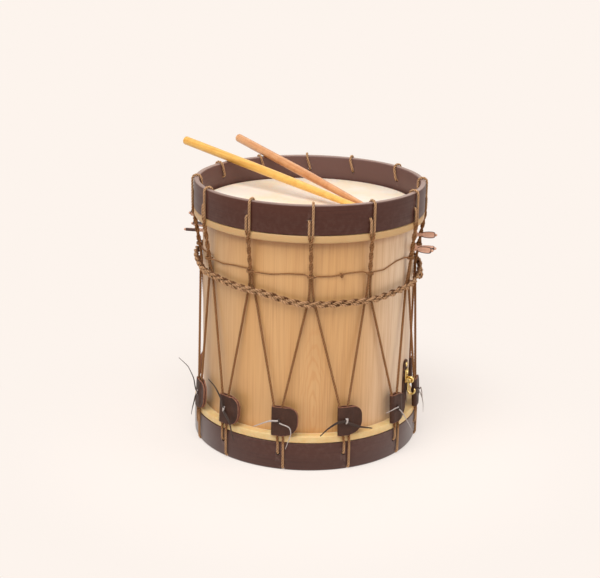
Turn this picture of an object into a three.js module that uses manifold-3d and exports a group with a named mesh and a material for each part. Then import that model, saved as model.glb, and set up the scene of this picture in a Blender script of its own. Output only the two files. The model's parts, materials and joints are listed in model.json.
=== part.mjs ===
// Rope-tensioned renaissance drum with two drumsticks, as separate pieces. Millimetres, +Z up.
// The origin is on the drum's axis, in the plane that the bottom hoop stands on.
// An azimuth is in degrees round the axis: 0 is the front (-Y) and 90 the right side (+X).
import * as THREE from 'three';
import { mergeVertices } from 'three/addons/utils/BufferGeometryUtils.js';
import Module from 'manifold-3d';

const wasm = await Module();
wasm.setup();

// Fits
const seatGap = 0.3; // between pieces that touch
const runningGap = 0.35; // round a piece that turns or slides in another
const cutMargin = 1; // by which a cutting shape passes what it cuts
const roundSteps = 36; // facets of the large rounds
const flat = Math.cos(Math.PI / roundSteps); // a facet's middle, as a share of its corners' radius

// Shell and its inner rings
const overallHeight = 380; // between the free edges of the two hoops
const shellOuterRadius = 152.5;
const shellWall = 5;
const ringWall = 6;
const ringHeight = 24;

// Heads: skins lapped round wooden flesh hoops
const headRecess = 34; // from a hoop's free edge in to the skin
const skinThickness = 1;
const headBevel = 3; // where the skin turns over the shell's edge
const fleshHoopWall = 6.6;
const fleshHoopHeight = 8.4;
const lapSlit = 0.6; // between the lapped skin's end and the collar

// Counter hoops
const hoopHeight = 41;
const hoopWall = 8;
const hoopCollarGap = 3.2; // between a hoop and the skin's collar
const hoopEdgeRound = 3;
const hoopSeatChamfer = 1;

// Tension rope
const bayCount = 12;
const ropeDiameter = 4;
const ropeSides = 5;
const ropeBend = 3.6; // at the rope's middle, round a hole's edge
const ropeHoleClearance = 1.4;
const topHoleDepth = 21; // of a rope hole's middle, from the top hoop's free edge
const bottomHoleDepth = 24.5; // of a rope hole's middle, from the bottom hoop's free edge
const notchSideClearance = 0.5;
const footClearance = 0.6; // of the rope above the plane that the drum stands on
const pairGap = 0.6; // between the two ropes of a pair
const ropeAtBraid = 3; // from the shell to the rope's middle, under the braid
const bottomHoleShift = 0.9; // of a bottom hole, along the hoop, from its bay's middle
const bottomEdgeShift = 8.4; // of the rope's turn under the bottom hoop

// Braid and thin cord round the rope pairs
const braidDepth = 136.5; // of the braid's lowest level from the top hoop's free edge
const braidThickness = 11;
const braidRise = 10;
const braidSides = 6;
const cordDepth = 99; // of the thin cord from the top hoop's free edge
const cordDiameter = 2;
const cordSides = 4;
const cordKnotGap = 6; // between the cord's two ends, at the back

// Leather tugs and their laces
const leatherThickness = 2.2;
const tugHeight = 44;
const tugLowEnd = 52; // above the plane that the drum stands on
const tugSpread = 12.4; // between the rope's middles at a tug's upper end
const tugPocket = 10.6; // from the bay's middle to where the flaps close on each other
const tugWidth = 37;
const tugFlapGap = 0.5; // between the two flaps
const tugFlapSlope = 4; // along which the flaps close
const tugRound = 18; // of the tug's round side
const tugFoldChamfer = 2; // of the corners at the fold
const laceWidth = 2.6;
const laceThickness = 1.6;
const laceHoleRise = 3.6; // of each lace hole, from the tug's middle
const laceHoleShift = 3; // of the lace holes, along the tug, from the bay's middle
const laceStandOff = 2.6; // of a lace's tails from the leather

// Pegs and snares
const pegDepth = 83; // of a peg's middle from the top hoop's free edge, before its own drop
const pegShaftRadius = 3.6;
const pegInnerRadius = 3.1;
const pegReach = 12; // of the shaft inside the shell
const pegCollarRadius = 5.4;
const pegCollarLength = 3;
const pegNeckRadius = 2.6;
const pegNeckLength = 6;
const pegPaddleWidth = 9.6;
const pegPaddleLength = 20;
const pegPaddleThickness = 4;
const pegPaddleBevel = 1;
const pegBallRadius = 2;
const pegSides = 8;
const snareDiameter = 1.2;
const snareSides = 4;
const snareHoleClearance = 0.6;

// Drumsticks
const stickLength = 348;
const stickButtRadius = 6.4;
const stickTipRadius = 4.1;
const stickEndRound = 2.2;
const stickSides = 12;

// Hanger on the right side: a leather tab, two rivets and a brass hook
const hangerAzimuth = 68;
const tabWidth = 16;
const tabLowEnd = 60;
const tabHighEnd = 128;
const tabThickness = 2.4;
const rivetShankRadius = 1.5;
const rivetHeadRadius = 3.6;
const rivetHeadHeight = 1.6;
const rivetSides = 10;
const upperRivetHeight = 121;
const lowerRivetHeight = 109;
const plateThickness = 1.5;
const plateWidth = 12;
const plateTopMargin = 5; // of the bracket's plate above the lower rivet
const earWidth = 2;
const hookPinHeight = 98;
const hookPinRadius = 2.1;
const hookWireRadius = 1.4;
const hookWireSides = 6;
const hookShank = 16;
const hookMouthRadius = 5.5; // of the wire's middle
const hookEyeStart = -85; // degrees from straight out, where the eye's wire begins
const hookMouthEnd = 395; // degrees from straight out, where the mouth's wire ends

// Places round the drum that follow the photograph
const pairShifts = [0, -1, 0, 0, 4, 5, 0, -3, -4.5, 0, 1.6, 0.7]; // degrees from even spacing
const bayShifts = [3, 4, 0, 2, 4.5, 2.5, -1.5, -3.7, -10, 6, 1, 1]; // degrees from even spacing
const braidRises = [0.5, 0, 4, 12.5, 18.5, 21.5, 23.5, 25, 26, 25.5, 19, 14.5]; // at the rope pairs
const pegPlaces = [
  { azimuth: 70.5, drop: 4.8, turn: 72 },
  { azimuth: 79, drop: 8.8, turn: 10 },
  { azimuth: 86, drop: -5, turn: 72 },
  { azimuth: 250.5, drop: 3, turn: 75 },
  { azimuth: 253.5, drop: -15.5, turn: 60 },
  { azimuth: 261, drop: 3.5, turn: 85 },
];
const stickPlaces = [
  { name: 'stick_left', rimAzimuth: 229.5, tip: [72.75, -61.15], colour: '#e8b04c' },
  { name: 'stick_right', rimAzimuth: 205, tip: [95.2, -75.35], colour: '#cf8f58' },
];
// Tails of a lace: points to the right of the lace holes, out from the leather, and above the tug's middle.
const laceStyles = [
  {
    upper: [[-15.8, 1, 0.5], [-30.5, 3, -6.5], [-41.4, 5, -14.5]],
    lower: [[16.5, 2, -8.4], [26, 3, -10.2], [35.3, 4, -12]],
  },
  {
    upper: [[-9, 1, 3], [-18.5, 2, 3], [-36.2, 4, 4]],
    lower: [[5.4, 2, -9], [13.5, 3, -22], [25.8, 5, -42.5]],
  },
  {
    upper: [[-6, 3, 8], [-9, 5, 0], [-7, 5, -13]],
    lower: [[5, 3, -13], [7, 4, -25], [4, 4, -36]],
  },
  {
    upper: [[1.7, 5, 23.4], [-8.5, 11, 38], [-20.5, 22, 47.5]],
    lower: [[3.2, 3, -12.5], [-0.5, 4, -24], [-3.5, 4, -35]],
  },
  {
    upper: [[-2.7, 2, 16.6], [-14, 4, 31], [-26.6, 5, 38.5]],
    lower: [[16.4, 2, -13], [22.4, 3, -26], [28.9, 4, -36.7]],
  },
  {
    upper: [[-12.3, 1, 1], [-23.5, 2, -4], [-34.9, 3, -9.2]],
    lower: [[16.6, 2, -5], [19, 3, -14], [11.6, 4, -36.6]],
  },
  {
    upper: [[12, 1, 5], [24, 2, 3], [36, 3, -2]],
    lower: [[7, 1, -11], [14, 2, -21], [21, 3, -32]],
  },
  {
    upper: [[-12, 1, 4], [-24, 2, 1], [-36, 3, -5]],
    lower: [[-6, 1, -11], [-11, 2, -21], [-15, 3, -33]],
  },
];
const laceOrder = [0, 1, 2, 6, 0, 1, 4, 5, 7, 3, 4, 5]; // the style of each bay's lace

// Sizes that follow
const ropeRadius = ropeDiameter / 2;
const bayAngle = 360 / bayCount;
const shellInnerRadius = shellOuterRadius - shellWall;
const collarInner = shellOuterRadius + seatGap;
const collarOuter = collarInner + skinThickness;
const fleshInner = collarOuter + seatGap;
const fleshOuter = fleshInner + fleshHoopWall;
const lapInner = fleshOuter + seatGap;
const lapOuter = lapInner + skinThickness;
const lapHeight = fleshHoopHeight + 2 * (skinThickness + seatGap);
const lapDepth = hoopHeight + seatGap; // from the free edge to the lapped skin
const hoopInner = collarOuter + hoopCollarGap;
const hoopOuter = hoopInner + hoopWall;
const shellEndDepth = headRecess + skinThickness + seatGap;
const ringOuter = shellInnerRadius - seatGap;
const ringInner = ringOuter - ringWall;
const ringEndDepth = headRecess + skinThickness + seatGap + snareDiameter + seatGap;
const strandRadius = hoopOuter + seatGap + ropeRadius; // rope outside the hoops
const insideRadius = hoopInner * flat - seatGap - ropeRadius; // rope inside the hoops
const braidRopeRadius = shellOuterRadius + ropeAtBraid;
const pairAngle = angleAlong((ropeDiameter + pairGap) / 2, braidRopeRadius);
const ropeHoleRadius = ropeRadius + ropeHoleClearance;
const notchRopeDepth = footClearance + ropeRadius;
const notchDepth = notchRopeDepth + ropeHoleRadius;

// Small helpers
function angleAlong(length, radius) {
  return THREE.MathUtils.radToDeg(length / radius);
}

function polar(radius, azimuth, height) {
  const a = THREE.MathUtils.degToRad(azimuth);
  return new THREE.Vector3(radius * Math.sin(a), -radius * Math.cos(a), height);
}

// Depth is measured from a hoop's free edge towards the drum's middle.
const fromBottom = (depth) => depth;
const fromTop = (depth) => overallHeight - depth;
const pegHeight = ({ drop }) => fromTop(pegDepth + drop);
const braidHeight = fromTop(braidDepth);
const cordHeight = fromTop(cordDepth);

function material(color, roughness, metalness = 0) {
  return new THREE.MeshStandardMaterial({ color, roughness, metalness });
}

// A geometry's corners, merged, as a closed solid whose faces point out.
function solid(geometry) {
  const loose = geometry.index ? geometry.toNonIndexed() : geometry;
  const bare = new THREE.BufferGeometry().setAttribute('position', loose.getAttribute('position'));
  const merged = mergeVertices(bare, 1e-4);
  const corners = merged.index.array;
  const position = merged.getAttribute('position');
  const triangles = [];
  let volume = 0;
  for (let i = 0; i < corners.length; i += 3) {
    const [a, b, c] = corners.slice(i, i + 3);
    if (a === b || b === c || c === a) continue;
    triangles.push(a, b, c);
    const [p, q, r] = [a, b, c].map((n) => new THREE.Vector3().fromBufferAttribute(position, n));
    volume += p.dot(q.cross(r));
  }
  if (volume < 0) triangles.reverse();
  const mesh = new wasm.Mesh({
    numProp: 3,
    vertProperties: position.array,
    triVerts: new Uint32Array(triangles),
  });
  return new wasm.Manifold(mesh);
}

function geometryOf(manifold) {
  const { vertProperties, triVerts } = manifold.getMesh();
  const geometry = new THREE.BufferGeometry();
  geometry.setAttribute('position', new THREE.BufferAttribute(new Float32Array(vertProperties), 3));
  geometry.setIndex(new THREE.BufferAttribute(new Uint32Array(triVerts), 1));
  geometry.computeVertexNormals();
  return geometry;
}

// A profile of [radius, height] points turned round the Z axis.
function turned(profile, steps = roundSteps) {
  const points = profile.map(([radius, height]) => new THREE.Vector2(radius, height));
  return new THREE.LatheGeometry(points, steps).rotateX(Math.PI / 2);
}

function turnedRing(profile, steps = roundSteps) {
  return turned([...profile, profile[0]], steps);
}

// A rod along a radial line of the drum, for drilling.
function drill(azimuth, height, radius, from, to, sides) {
  const rod = new THREE.CylinderGeometry(radius, radius, to - from, sides);
  rod.translate(0, -(from + to) / 2, 0);
  rod.rotateZ(THREE.MathUtils.degToRad(azimuth));
  rod.translate(0, 0, height);
  return solid(rod);
}

// A curve that steps evenly from one set station to the next.
class StationPath extends THREE.Curve {
  constructor(stations) {
    super();
    this.stations = stations;
  }

  index(u) {
    return Math.round(u * (this.stations.length - 1));
  }

  getPointAt(u, target = new THREE.Vector3()) {
    return target.copy(this.stations[this.index(u)]);
  }

  getTangentAt(u, target = new THREE.Vector3()) {
    const i = this.index(u);
    const here = this.stations[i];
    target.set(0, 0, 0);
    if (i > 0) target.add(here.clone().sub(this.stations[i - 1]).normalize());
    if (i < this.stations.length - 1) target.add(this.stations[i + 1].clone().sub(here).normalize());
    return target.normalize();
  }
}

function swept(section, stations) {
  const path = new StationPath(stations);
  return new THREE.ExtrudeGeometry(section, { extrudePath: path, steps: stations.length - 1 });
}

function roundSection(radius, sides) {
  const corner = (i) => (2 * Math.PI * (i + 0.5)) / sides;
  const corners = Array.from({ length: sides }, (_, i) => corner(i));
  return new THREE.Shape(corners.map((a) => new THREE.Vector2(radius * Math.cos(a), radius * Math.sin(a))));
}

function tube(stations, radius, sides) {
  return swept(roundSection(radius, sides), stations);
}

const drum = new THREE.Group();

function addPiece(name, shape, finish, parent = drum) {
  const geometry = shape.isBufferGeometry ? geometryOf(solid(shape)) : geometryOf(shape);
  const mesh = new THREE.Mesh(geometry, finish);
  mesh.name = name;
  parent.add(mesh);
  return mesh;
}

// Finishes
const paleWood = material('#d7af7d', 0.55);
const hoopWood = material('#52302a', 0.35);
const skin = material('#efe3c8', 0.6);
const innerWood = material('#c8a878', 0.7);
const hemp = material('#9c7044', 0.9);
const leather = material('#3c2823', 0.6);
const laceLeather = material('#6b5f58', 0.5);
const pegWood = material('#9c6245', 0.45);
const gut = material('#e6d9b0', 0.5);
const brass = material('#d2a545', 0.25, 1);

// Shell, with its drilled peg and rivet holes
function makeShell() {
  const bevel = headBevel - (skinThickness + seatGap) * (2 - Math.SQRT2);
  const half = (zOf) => [
    [shellInnerRadius, zOf(shellEndDepth)],
    [shellOuterRadius - bevel, zOf(shellEndDepth)],
    [shellOuterRadius, zOf(shellEndDepth + bevel)],
  ];
  let shell = solid(turnedRing([...half(fromBottom), ...half(fromTop).reverse()]));
  const holeSides = 10;
  const pegHole = (pegShaftRadius + runningGap) / Math.cos(Math.PI / holeSides);
  for (const place of pegPlaces) {
    const hole = drill(place.azimuth, pegHeight(place), pegHole, ringInner, collarOuter, holeSides);
    shell = shell.subtract(hole);
  }
  for (const height of [upperRivetHeight, lowerRivetHeight]) {
    shell = shell.subtract(drill(hangerAzimuth, height, rivetHole, ringInner, collarOuter, rivetSides));
  }
  addPiece('shell', shell, paleWood);
}

function makeInnerRing(name, zOf, drilled) {
  const ring = turnedRing([
    [ringInner, zOf(ringEndDepth)],
    [ringOuter, zOf(ringEndDepth)],
    [ringOuter, zOf(ringEndDepth + ringHeight)],
    [ringInner, zOf(ringEndDepth + ringHeight)],
  ]);
  let body = solid(ring);
  if (drilled) {
    for (const { azimuth } of pegPlaces) {
      const radius = snareDiameter / 2 + snareHoleClearance;
      const hole = new THREE.CylinderGeometry(radius, radius, ringHeight * 2, 6).rotateX(Math.PI / 2);
      const place = polar(snareRadius, azimuth, zOf(ringEndDepth + ringHeight / 2));
      hole.translate(place.x, place.y, place.z);
      body = body.subtract(solid(hole));
    }
  }
  addPiece(name, body, innerWood);
}

// A head: the skin over the shell's end, down its collar and lapped round the flesh hoop
function makeHead(name, fleshName, zOf) {
  const innerBevel = headBevel + skinThickness * (Math.SQRT2 - 1);
  const low = lapDepth + lapHeight;
  const profile = [
    [0, headRecess],
    [collarOuter - headBevel, headRecess],
    [collarOuter, headRecess + headBevel],
    [collarOuter, low - skinThickness],
    [lapInner, low - skinThickness],
    [lapInner, lapDepth + skinThickness],
    [collarOuter + lapSlit, lapDepth + skinThickness],
    [collarOuter + lapSlit, lapDepth],
    [lapOuter, lapDepth],
    [lapOuter, low],
    [collarInner, low],
    [collarInner, headRecess + innerBevel],
    [collarOuter - innerBevel, headRecess + skinThickness],
    [0, headRecess + skinThickness],
  ];
  addPiece(name, turned(profile.map(([radius, depth]) => [radius, zOf(depth)])), skin);
  const near = zOf(lapDepth + skinThickness + seatGap);
  const far = zOf(lapDepth + skinThickness + seatGap + fleshHoopHeight);
  const flesh = [
    [fleshInner, near],
    [fleshOuter, near],
    [fleshOuter, far],
    [fleshInner, far],
  ];
  addPiece(fleshName, turnedRing(flesh), innerWood);
}

// A counter hoop with round free edges, drilled for the rope and notched where it is to stand
function makeHoop(name, zOf, holeDepth, holeAzimuths, notchAzimuths) {
  const corner = (centre, from) =>
    [0, 45, 90].map((step) => {
      const a = THREE.MathUtils.degToRad(from + step);
      return [centre + hoopEdgeRound * Math.cos(a), hoopEdgeRound - hoopEdgeRound * Math.sin(a)];
    });
  const profile = [
    ...corner(hoopOuter - hoopEdgeRound, 0),
    ...corner(hoopInner + hoopEdgeRound, 90),
    [hoopInner, hoopHeight - hoopSeatChamfer],
    [hoopInner + hoopSeatChamfer, hoopHeight],
    [hoopOuter - hoopSeatChamfer, hoopHeight],
    [hoopOuter, hoopHeight - hoopSeatChamfer],
  ];
  let hoop = solid(turnedRing(profile.map(([radius, depth]) => [radius, zOf(depth)])));
  const holeSides = 6;
  for (const azimuth of holeAzimuths) {
    const radius = ropeHoleRadius / Math.cos(Math.PI / holeSides);
    hoop = hoop.subtract(drill(azimuth, zOf(holeDepth), radius, collarOuter, strandRadius, holeSides));
  }
  for (const azimuth of notchAzimuths) {
    const width = ropeDiameter + 2 * notchSideClearance;
    const notch = new THREE.BoxGeometry(width, strandRadius - collarOuter, 2 * notchDepth);
    notch.translate(0, -(strandRadius + collarOuter) / 2, zOf(0));
    notch.rotateZ(THREE.MathUtils.degToRad(azimuth));
    hoop = hoop.subtract(solid(notch));
  }
  addPiece(name, hoop, hoopWood);
}

// A list's value at a bay or pair, counted round and round the drum
const atPlace = (list, place) => list[THREE.MathUtils.euclideanModulo(place, bayCount)] ?? 0;

// The braid's level changes smoothly from one rope pair to the next.
function braidLevel(azimuth) {
  const pair = Math.floor(azimuth / bayAngle);
  const share = THREE.MathUtils.smoothstep(azimuth / bayAngle - pair, 0, 1);
  return braidHeight + THREE.MathUtils.lerp(atPlace(braidRises, pair), atPlace(braidRises, pair + 1), share);
}

// Middle of the rope bays, and the rope's line from the braid down to the bottom hoop
const bayMiddle = (bay) => bayAngle * (bay + 0.5) + atPlace(bayShifts, bay);
const pairMiddle = (pair) => bayAngle * pair + atPlace(pairShifts, pair);
const topHoleAzimuth = (pair) => pairMiddle(pair) - pairAngle;
const bottomHoleAzimuth = (bay) => bayMiddle(bay) + angleAlong(bottomHoleShift, strandRadius);
const bottomEdgeAzimuth = (bay) => bayMiddle(bay) + angleAlong(bottomEdgeShift, strandRadius);
const legSlope = (strandRadius - braidRopeRadius) / (braidHeight - hoopHeight);
const legRadius = (height) => strandRadius - legSlope * (height - hoopHeight);
const tugHighEnd = tugLowEnd + tugHeight;

// Stations where the rope turns over a hoop's free edge, runs up its inside and out through its hole
function hoopTurn(zOf, holeDepth, edgeAzimuth, holeAzimuth, edgeDepth, edgeBend, outerCentre, innerCentre) {
  const turn = [0, 45, 90].map(THREE.MathUtils.degToRad);
  const over = turn.map((a) => [
    edgeAzimuth,
    outerCentre + edgeBend * Math.cos(a),
    edgeDepth + edgeBend * (1 - Math.sin(a)),
  ]);
  const down = turn.map((a) => [
    edgeAzimuth,
    innerCentre - edgeBend * Math.sin(a),
    edgeDepth + edgeBend * (1 - Math.cos(a)),
  ]);
  const inHole = turn.map((a) => [
    holeAzimuth,
    insideRadius + ropeBend * (1 - Math.cos(a)),
    holeDepth - ropeBend * (1 - Math.sin(a)),
  ]);
  const outOfHole = turn.map((a) => [
    holeAzimuth,
    strandRadius - ropeBend * (1 - Math.sin(a)),
    holeDepth + ropeBend * (1 - Math.cos(a)),
  ]);
  return [...over, ...down, ...inHole, ...outOfHole].map(([azimuth, radius, depth]) =>
    polar(radius, azimuth, zOf(depth)),
  );
}

// One bay's rope: down from the pair on its right, round the bottom hoop, up its left leg,
// over the top hoop and out through its hole
function bayRope(bay) {
  const left = pairMiddle(bay);
  const tugHalf = angleAlong(tugSpread / 2, legRadius(tugHighEnd));
  const edgeBend = hoopEdgeRound + seatGap + ropeRadius;
  const overTop = hoopTurn(
    fromTop, topHoleDepth, left + pairAngle, topHoleAzimuth(bay), -seatGap - ropeRadius,
    edgeBend, hoopOuter - hoopEdgeRound, hoopInner * flat + hoopEdgeRound,
  );
  const underBottom = hoopTurn(
    fromBottom, bottomHoleDepth, bottomEdgeAzimuth(bay), bottomHoleAzimuth(bay), notchRopeDepth,
    ropeBend, strandRadius - ropeBend, insideRadius + ropeBend,
  );
  return [
    polar(legRadius(tugHighEnd), bayMiddle(bay) + tugHalf, tugHighEnd),
    polar(strandRadius, bottomEdgeAzimuth(bay), hoopHeight),
    ...underBottom,
    polar(strandRadius, bottomHoleAzimuth(bay), hoopHeight),
    polar(legRadius(tugHighEnd), bayMiddle(bay) - tugHalf, tugHighEnd),
    polar(braidRopeRadius, left + pairAngle, braidLevel(left)),
    polar(strandRadius, left + pairAngle, fromTop(hoopHeight)),
    ...overTop,
    polar(strandRadius, left - pairAngle, fromTop(hoopHeight)),
    polar(braidRopeRadius, left - pairAngle, braidLevel(left)),
  ];
}

// The rope's two ends meet under the braid, at the back.
function makeRope() {
  const backPair = bayCount / 2;
  const start = pairMiddle(backPair);
  const stations = [polar(braidRopeRadius, start - pairAngle, braidLevel(start) - ropeDiameter)];
  for (let step = 1; step <= bayCount; step += 1) {
    stations.push(...bayRope(backPair - step));
  }
  addPiece('tension_rope', tube(stations, ropeRadius, ropeSides), hemp);
  console.log(`The rope's least gap to itself: ${leastGap(stations, ropeRadius).toFixed(2)} mm`);
}

// Least gap between stretches of a tube that are further apart along it than they are across
function leastGap(stations, radius) {
  const points = [];
  let travelled = 0;
  for (let i = 1; i < stations.length; i += 1) {
    const [from, to] = [stations[i - 1], stations[i]];
    const length = from.distanceTo(to);
    const pieces = Math.ceil(length / radius);
    for (let j = 0; j < pieces; j += 1) {
      points.push({ at: from.clone().lerp(to, j / pieces), along: travelled + (length * j) / pieces });
    }
    travelled += length;
  }
  let least = Infinity;
  points.forEach((a, i) => {
    for (const b of points.slice(i + 1)) {
      const apart = a.at.distanceTo(b.at);
      if (apart < least && b.along - a.along > 3 * apart + 6 * radius) least = apart;
    }
  });
  return least - 2 * radius;
}

function makeBraid() {
  const inner = braidRopeRadius + ropeRadius + seatGap;
  const middle = inner + braidThickness / 2;
  const section = roundSection(1, braidSides).getPoints();
  const profile = section.map(({ x, y }) => [middle + (braidThickness / 2) * x, (braidRise / 2) * y]);
  const ring = turnedRing(profile);
  const corners = ring.getAttribute('position');
  for (let i = 0; i < corners.count; i += 1) {
    const azimuth = THREE.MathUtils.radToDeg(Math.atan2(corners.getX(i), -corners.getY(i)));
    corners.setZ(i, corners.getZ(i) + braidLevel(azimuth));
  }
  addPiece('braid_rope', ring, hemp);
}

// The thin cord lies on the shell and humps over each rope pair.
function makeBindingCord() {
  const steps = 4; // in a stretch between two pairs
  const facet = THREE.MathUtils.degToRad(bayAngle / steps);
  const low = (shellOuterRadius + seatGap + cordDiameter / 2) / Math.cos(facet / 2);
  const shoulder = pairAngle + angleAlong(ropeRadius, braidRopeRadius);
  const foot = shoulder + angleAlong(ropeDiameter, braidRopeRadius);
  const half = angleAlong(cordKnotGap / 2, low);
  const firstPair = bayCount / 2 + 1;
  const lastPair = firstPair + bayCount - 1;
  const stations = [];
  const layOnShell = (from, to, count) => {
    for (let i = 0; i <= count; i += 1) {
      stations.push(polar(low, THREE.MathUtils.lerp(from, to, i / count), cordHeight));
    }
  };
  layOnShell(bayMiddle(firstPair - 1) + half, pairMiddle(firstPair) - foot, steps / 2);
  for (let pair = firstPair; pair <= lastPair; pair += 1) {
    const middle = pairMiddle(pair);
    const level = braidLevel(middle);
    const climb = (cordHeight - level) / (fromTop(hoopHeight) - level);
    const ropeMiddle = THREE.MathUtils.lerp(braidRopeRadius, strandRadius, climb);
    const high = ropeMiddle + ropeRadius + seatGap + cordDiameter / 2;
    stations.push(polar(high, middle - shoulder, cordHeight));
    stations.push(polar(high, middle + shoulder, cordHeight));
    if (pair < lastPair) layOnShell(middle + foot, pairMiddle(pair + 1) - foot, steps);
  }
  layOnShell(pairMiddle(lastPair) + foot, bayMiddle(lastPair) - half, steps / 2);
  addPiece('binding_cord', tube(stations, cordDiameter / 2, cordSides), hemp);
}

// A tug: a strip of leather folded round the two ropes, its flaps closing on each other.
// In its group X runs along the hoop, -Y points out and Z runs up along the ropes.
const tugGap = ropeDiameter + 2 * seatGap;
const tugLeft = -tugSpread / 2 - tugGap / 2 - leatherThickness;

function tugSection() {
  const near = tugGap / 2;
  const far = near + leatherThickness;
  const flapNear = tugFlapGap / 2;
  const flapFar = flapNear + leatherThickness;
  const fold = -tugSpread / 2;
  const closed = tugPocket + tugFlapSlope;
  const end = tugLeft + tugWidth + cutMargin;
  const section = new THREE.Shape();
  section.moveTo(end, flapFar);
  section.lineTo(closed, flapFar);
  section.lineTo(tugPocket, far);
  section.absarc(fold, 0, far, Math.PI / 2, (3 * Math.PI) / 2, false);
  section.lineTo(tugPocket, -far);
  section.lineTo(closed, -flapFar);
  section.lineTo(end, -flapFar);
  section.lineTo(end, -flapNear);
  section.lineTo(closed, -flapNear);
  section.lineTo(tugPocket, -near);
  section.absarc(fold, 0, near, (3 * Math.PI) / 2, Math.PI / 2, true);
  section.lineTo(tugPocket, near);
  section.lineTo(closed, flapNear);
  section.lineTo(end, flapNear);
  section.closePath();
  return section;
}

function tugOutline() {
  const right = tugLeft + tugWidth;
  const high = tugHeight / 2;
  const outline = new THREE.Shape();
  outline.moveTo(tugLeft + tugFoldChamfer, -high);
  outline.lineTo(right - tugRound, -high);
  outline.absarc(right - tugRound, -high + tugRound, tugRound, -Math.PI / 2, 0, false);
  outline.absarc(right - tugRound, high - tugRound, tugRound, 0, Math.PI / 2, false);
  outline.lineTo(tugLeft + tugFoldChamfer, high);
  outline.lineTo(tugLeft, high - tugFoldChamfer);
  outline.lineTo(tugLeft, tugFoldChamfer - high);
  return outline;
}

function tugSolid() {
  const depth = tugGap + 2 * (leatherThickness + cutMargin);
  const folded = new THREE.ExtrudeGeometry(tugSection(), {
    depth: tugHeight,
    bevelEnabled: false,
    curveSegments: 3,
  });
  folded.translate(0, 0, -tugHeight / 2);
  const outline = new THREE.ExtrudeGeometry(tugOutline(), { depth, bevelEnabled: false, curveSegments: 3 });
  outline.translate(0, 0, -depth / 2);
  outline.rotateX(Math.PI / 2);
  let tug = solid(folded).intersect(solid(outline));
  for (const side of [-1, 1]) {
    const width = laceWidth + 2 * runningGap;
    const hole = new THREE.BoxGeometry(width, depth, width);
    hole.translate(laceHoleShift, 0, side * laceHoleRise);
    tug = tug.subtract(solid(hole));
  }
  return tug;
}

function laceStations({ upper, lower }) {
  const face = tugGap / 2 + leatherThickness;
  const front = -(face + laceStandOff);
  const back = face + seatGap + laceThickness + laceWidth / 4;
  const tail = (points) =>
    points.map(([right, out, up]) => new THREE.Vector3(laceHoleShift + right, front - out, up));
  const through = (y, z) => new THREE.Vector3(laceHoleShift, y, z);
  return [
    ...tail(upper).reverse(),
    through(front, laceHoleRise),
    through(face + laceThickness / 2, laceHoleRise),
    through(back, laceHoleRise / 2),
    through(back, -laceHoleRise / 2),
    through(face + laceThickness / 2, -laceHoleRise),
    through(front, -laceHoleRise),
    ...tail(lower),
  ];
}

function laceSection() {
  const [w, t] = [laceWidth / 2, laceThickness / 2];
  const corners = [[-t, -w], [t, -w], [t, w], [-t, w]];
  return new THREE.Shape(corners.map(([x, y]) => new THREE.Vector2(x, y)));
}

function makeTugs() {
  const tug = tugSolid();
  const middle = tugLowEnd + tugHeight / 2;
  for (let bay = 0; bay < bayCount; bay += 1) {
    const place = new THREE.Group();
    place.position.copy(polar(legRadius(middle), bayMiddle(bay), middle));
    place.rotation.order = 'ZXY';
    place.rotation.z = THREE.MathUtils.degToRad(bayMiddle(bay));
    place.rotation.x = -Math.atan(legSlope);
    drum.add(place);
    addPiece(`tug_${bay + 1}`, tug, leather, place);
    const lace = swept(laceSection(), laceStations(laceStyles[atPlace(laceOrder, bay)]));
    addPiece(`lace_${bay + 1}`, lace, laceLeather, place);
  }
}

// A peg: tapered shaft, collar and neck, turned; a flat bevelled paddle; a small ball at the end
const pegEnd = shellInnerRadius - pegReach;
const collarStart = shellOuterRadius + seatGap;
const neckStart = collarStart + pegCollarLength;
const paddleStart = neckStart + pegNeckLength;
const paddleEnd = paddleStart + pegPaddleLength;

function pegSolid() {
  const turnedPart = turned(
    [
      [0, pegEnd],
      [pegInnerRadius, pegEnd],
      [pegShaftRadius, collarStart],
      [pegCollarRadius, collarStart],
      [pegCollarRadius, neckStart],
      [pegNeckRadius, neckStart + pegNeckRadius / 2],
      [pegNeckRadius, paddleStart + pegPaddleWidth / 4],
      [0, paddleStart + pegPaddleWidth / 2],
    ],
    pegSides,
  );
  const half = pegPaddleWidth / 2 - pegPaddleBevel;
  const outline = new THREE.Shape();
  outline.moveTo(-pegNeckRadius / 2, paddleStart);
  outline.lineTo(pegNeckRadius / 2, paddleStart);
  outline.quadraticCurveTo(half, paddleStart, half, paddleStart + half);
  outline.lineTo(half, paddleEnd - pegPaddleBevel - half);
  outline.quadraticCurveTo(half, paddleEnd - pegPaddleBevel, 0, paddleEnd - pegPaddleBevel);
  outline.quadraticCurveTo(-half, paddleEnd - pegPaddleBevel, -half, paddleEnd - pegPaddleBevel - half);
  outline.lineTo(-half, paddleStart + half);
  outline.quadraticCurveTo(-half, paddleStart, -pegNeckRadius / 2, paddleStart);
  const thick = pegPaddleThickness - 2 * pegPaddleBevel;
  const paddle = new THREE.ExtrudeGeometry(outline, {
    depth: thick,
    bevelThickness: pegPaddleBevel,
    bevelSize: pegPaddleBevel,
    bevelSegments: 1,
    curveSegments: 2,
  });
  paddle.translate(0, 0, -thick / 2);
  paddle.rotateX(Math.PI / 2);
  const ball = new THREE.SphereGeometry(pegBallRadius, 6, 3).translate(0, 0, paddleEnd + pegBallRadius / 2);
  return solid(turnedPart).add(solid(paddle)).add(solid(ball));
}

function makePegs() {
  const peg = pegSolid();
  pegPlaces.forEach((place, i) => {
    const mesh = addPiece(`peg_${i + 1}`, peg, pegWood);
    mesh.geometry.rotateZ(THREE.MathUtils.degToRad(place.turn));
    mesh.geometry.rotateX(Math.PI / 2);
    mesh.rotation.z = THREE.MathUtils.degToRad(place.azimuth);
    mesh.position.z = pegHeight(place);
  });
}

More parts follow.
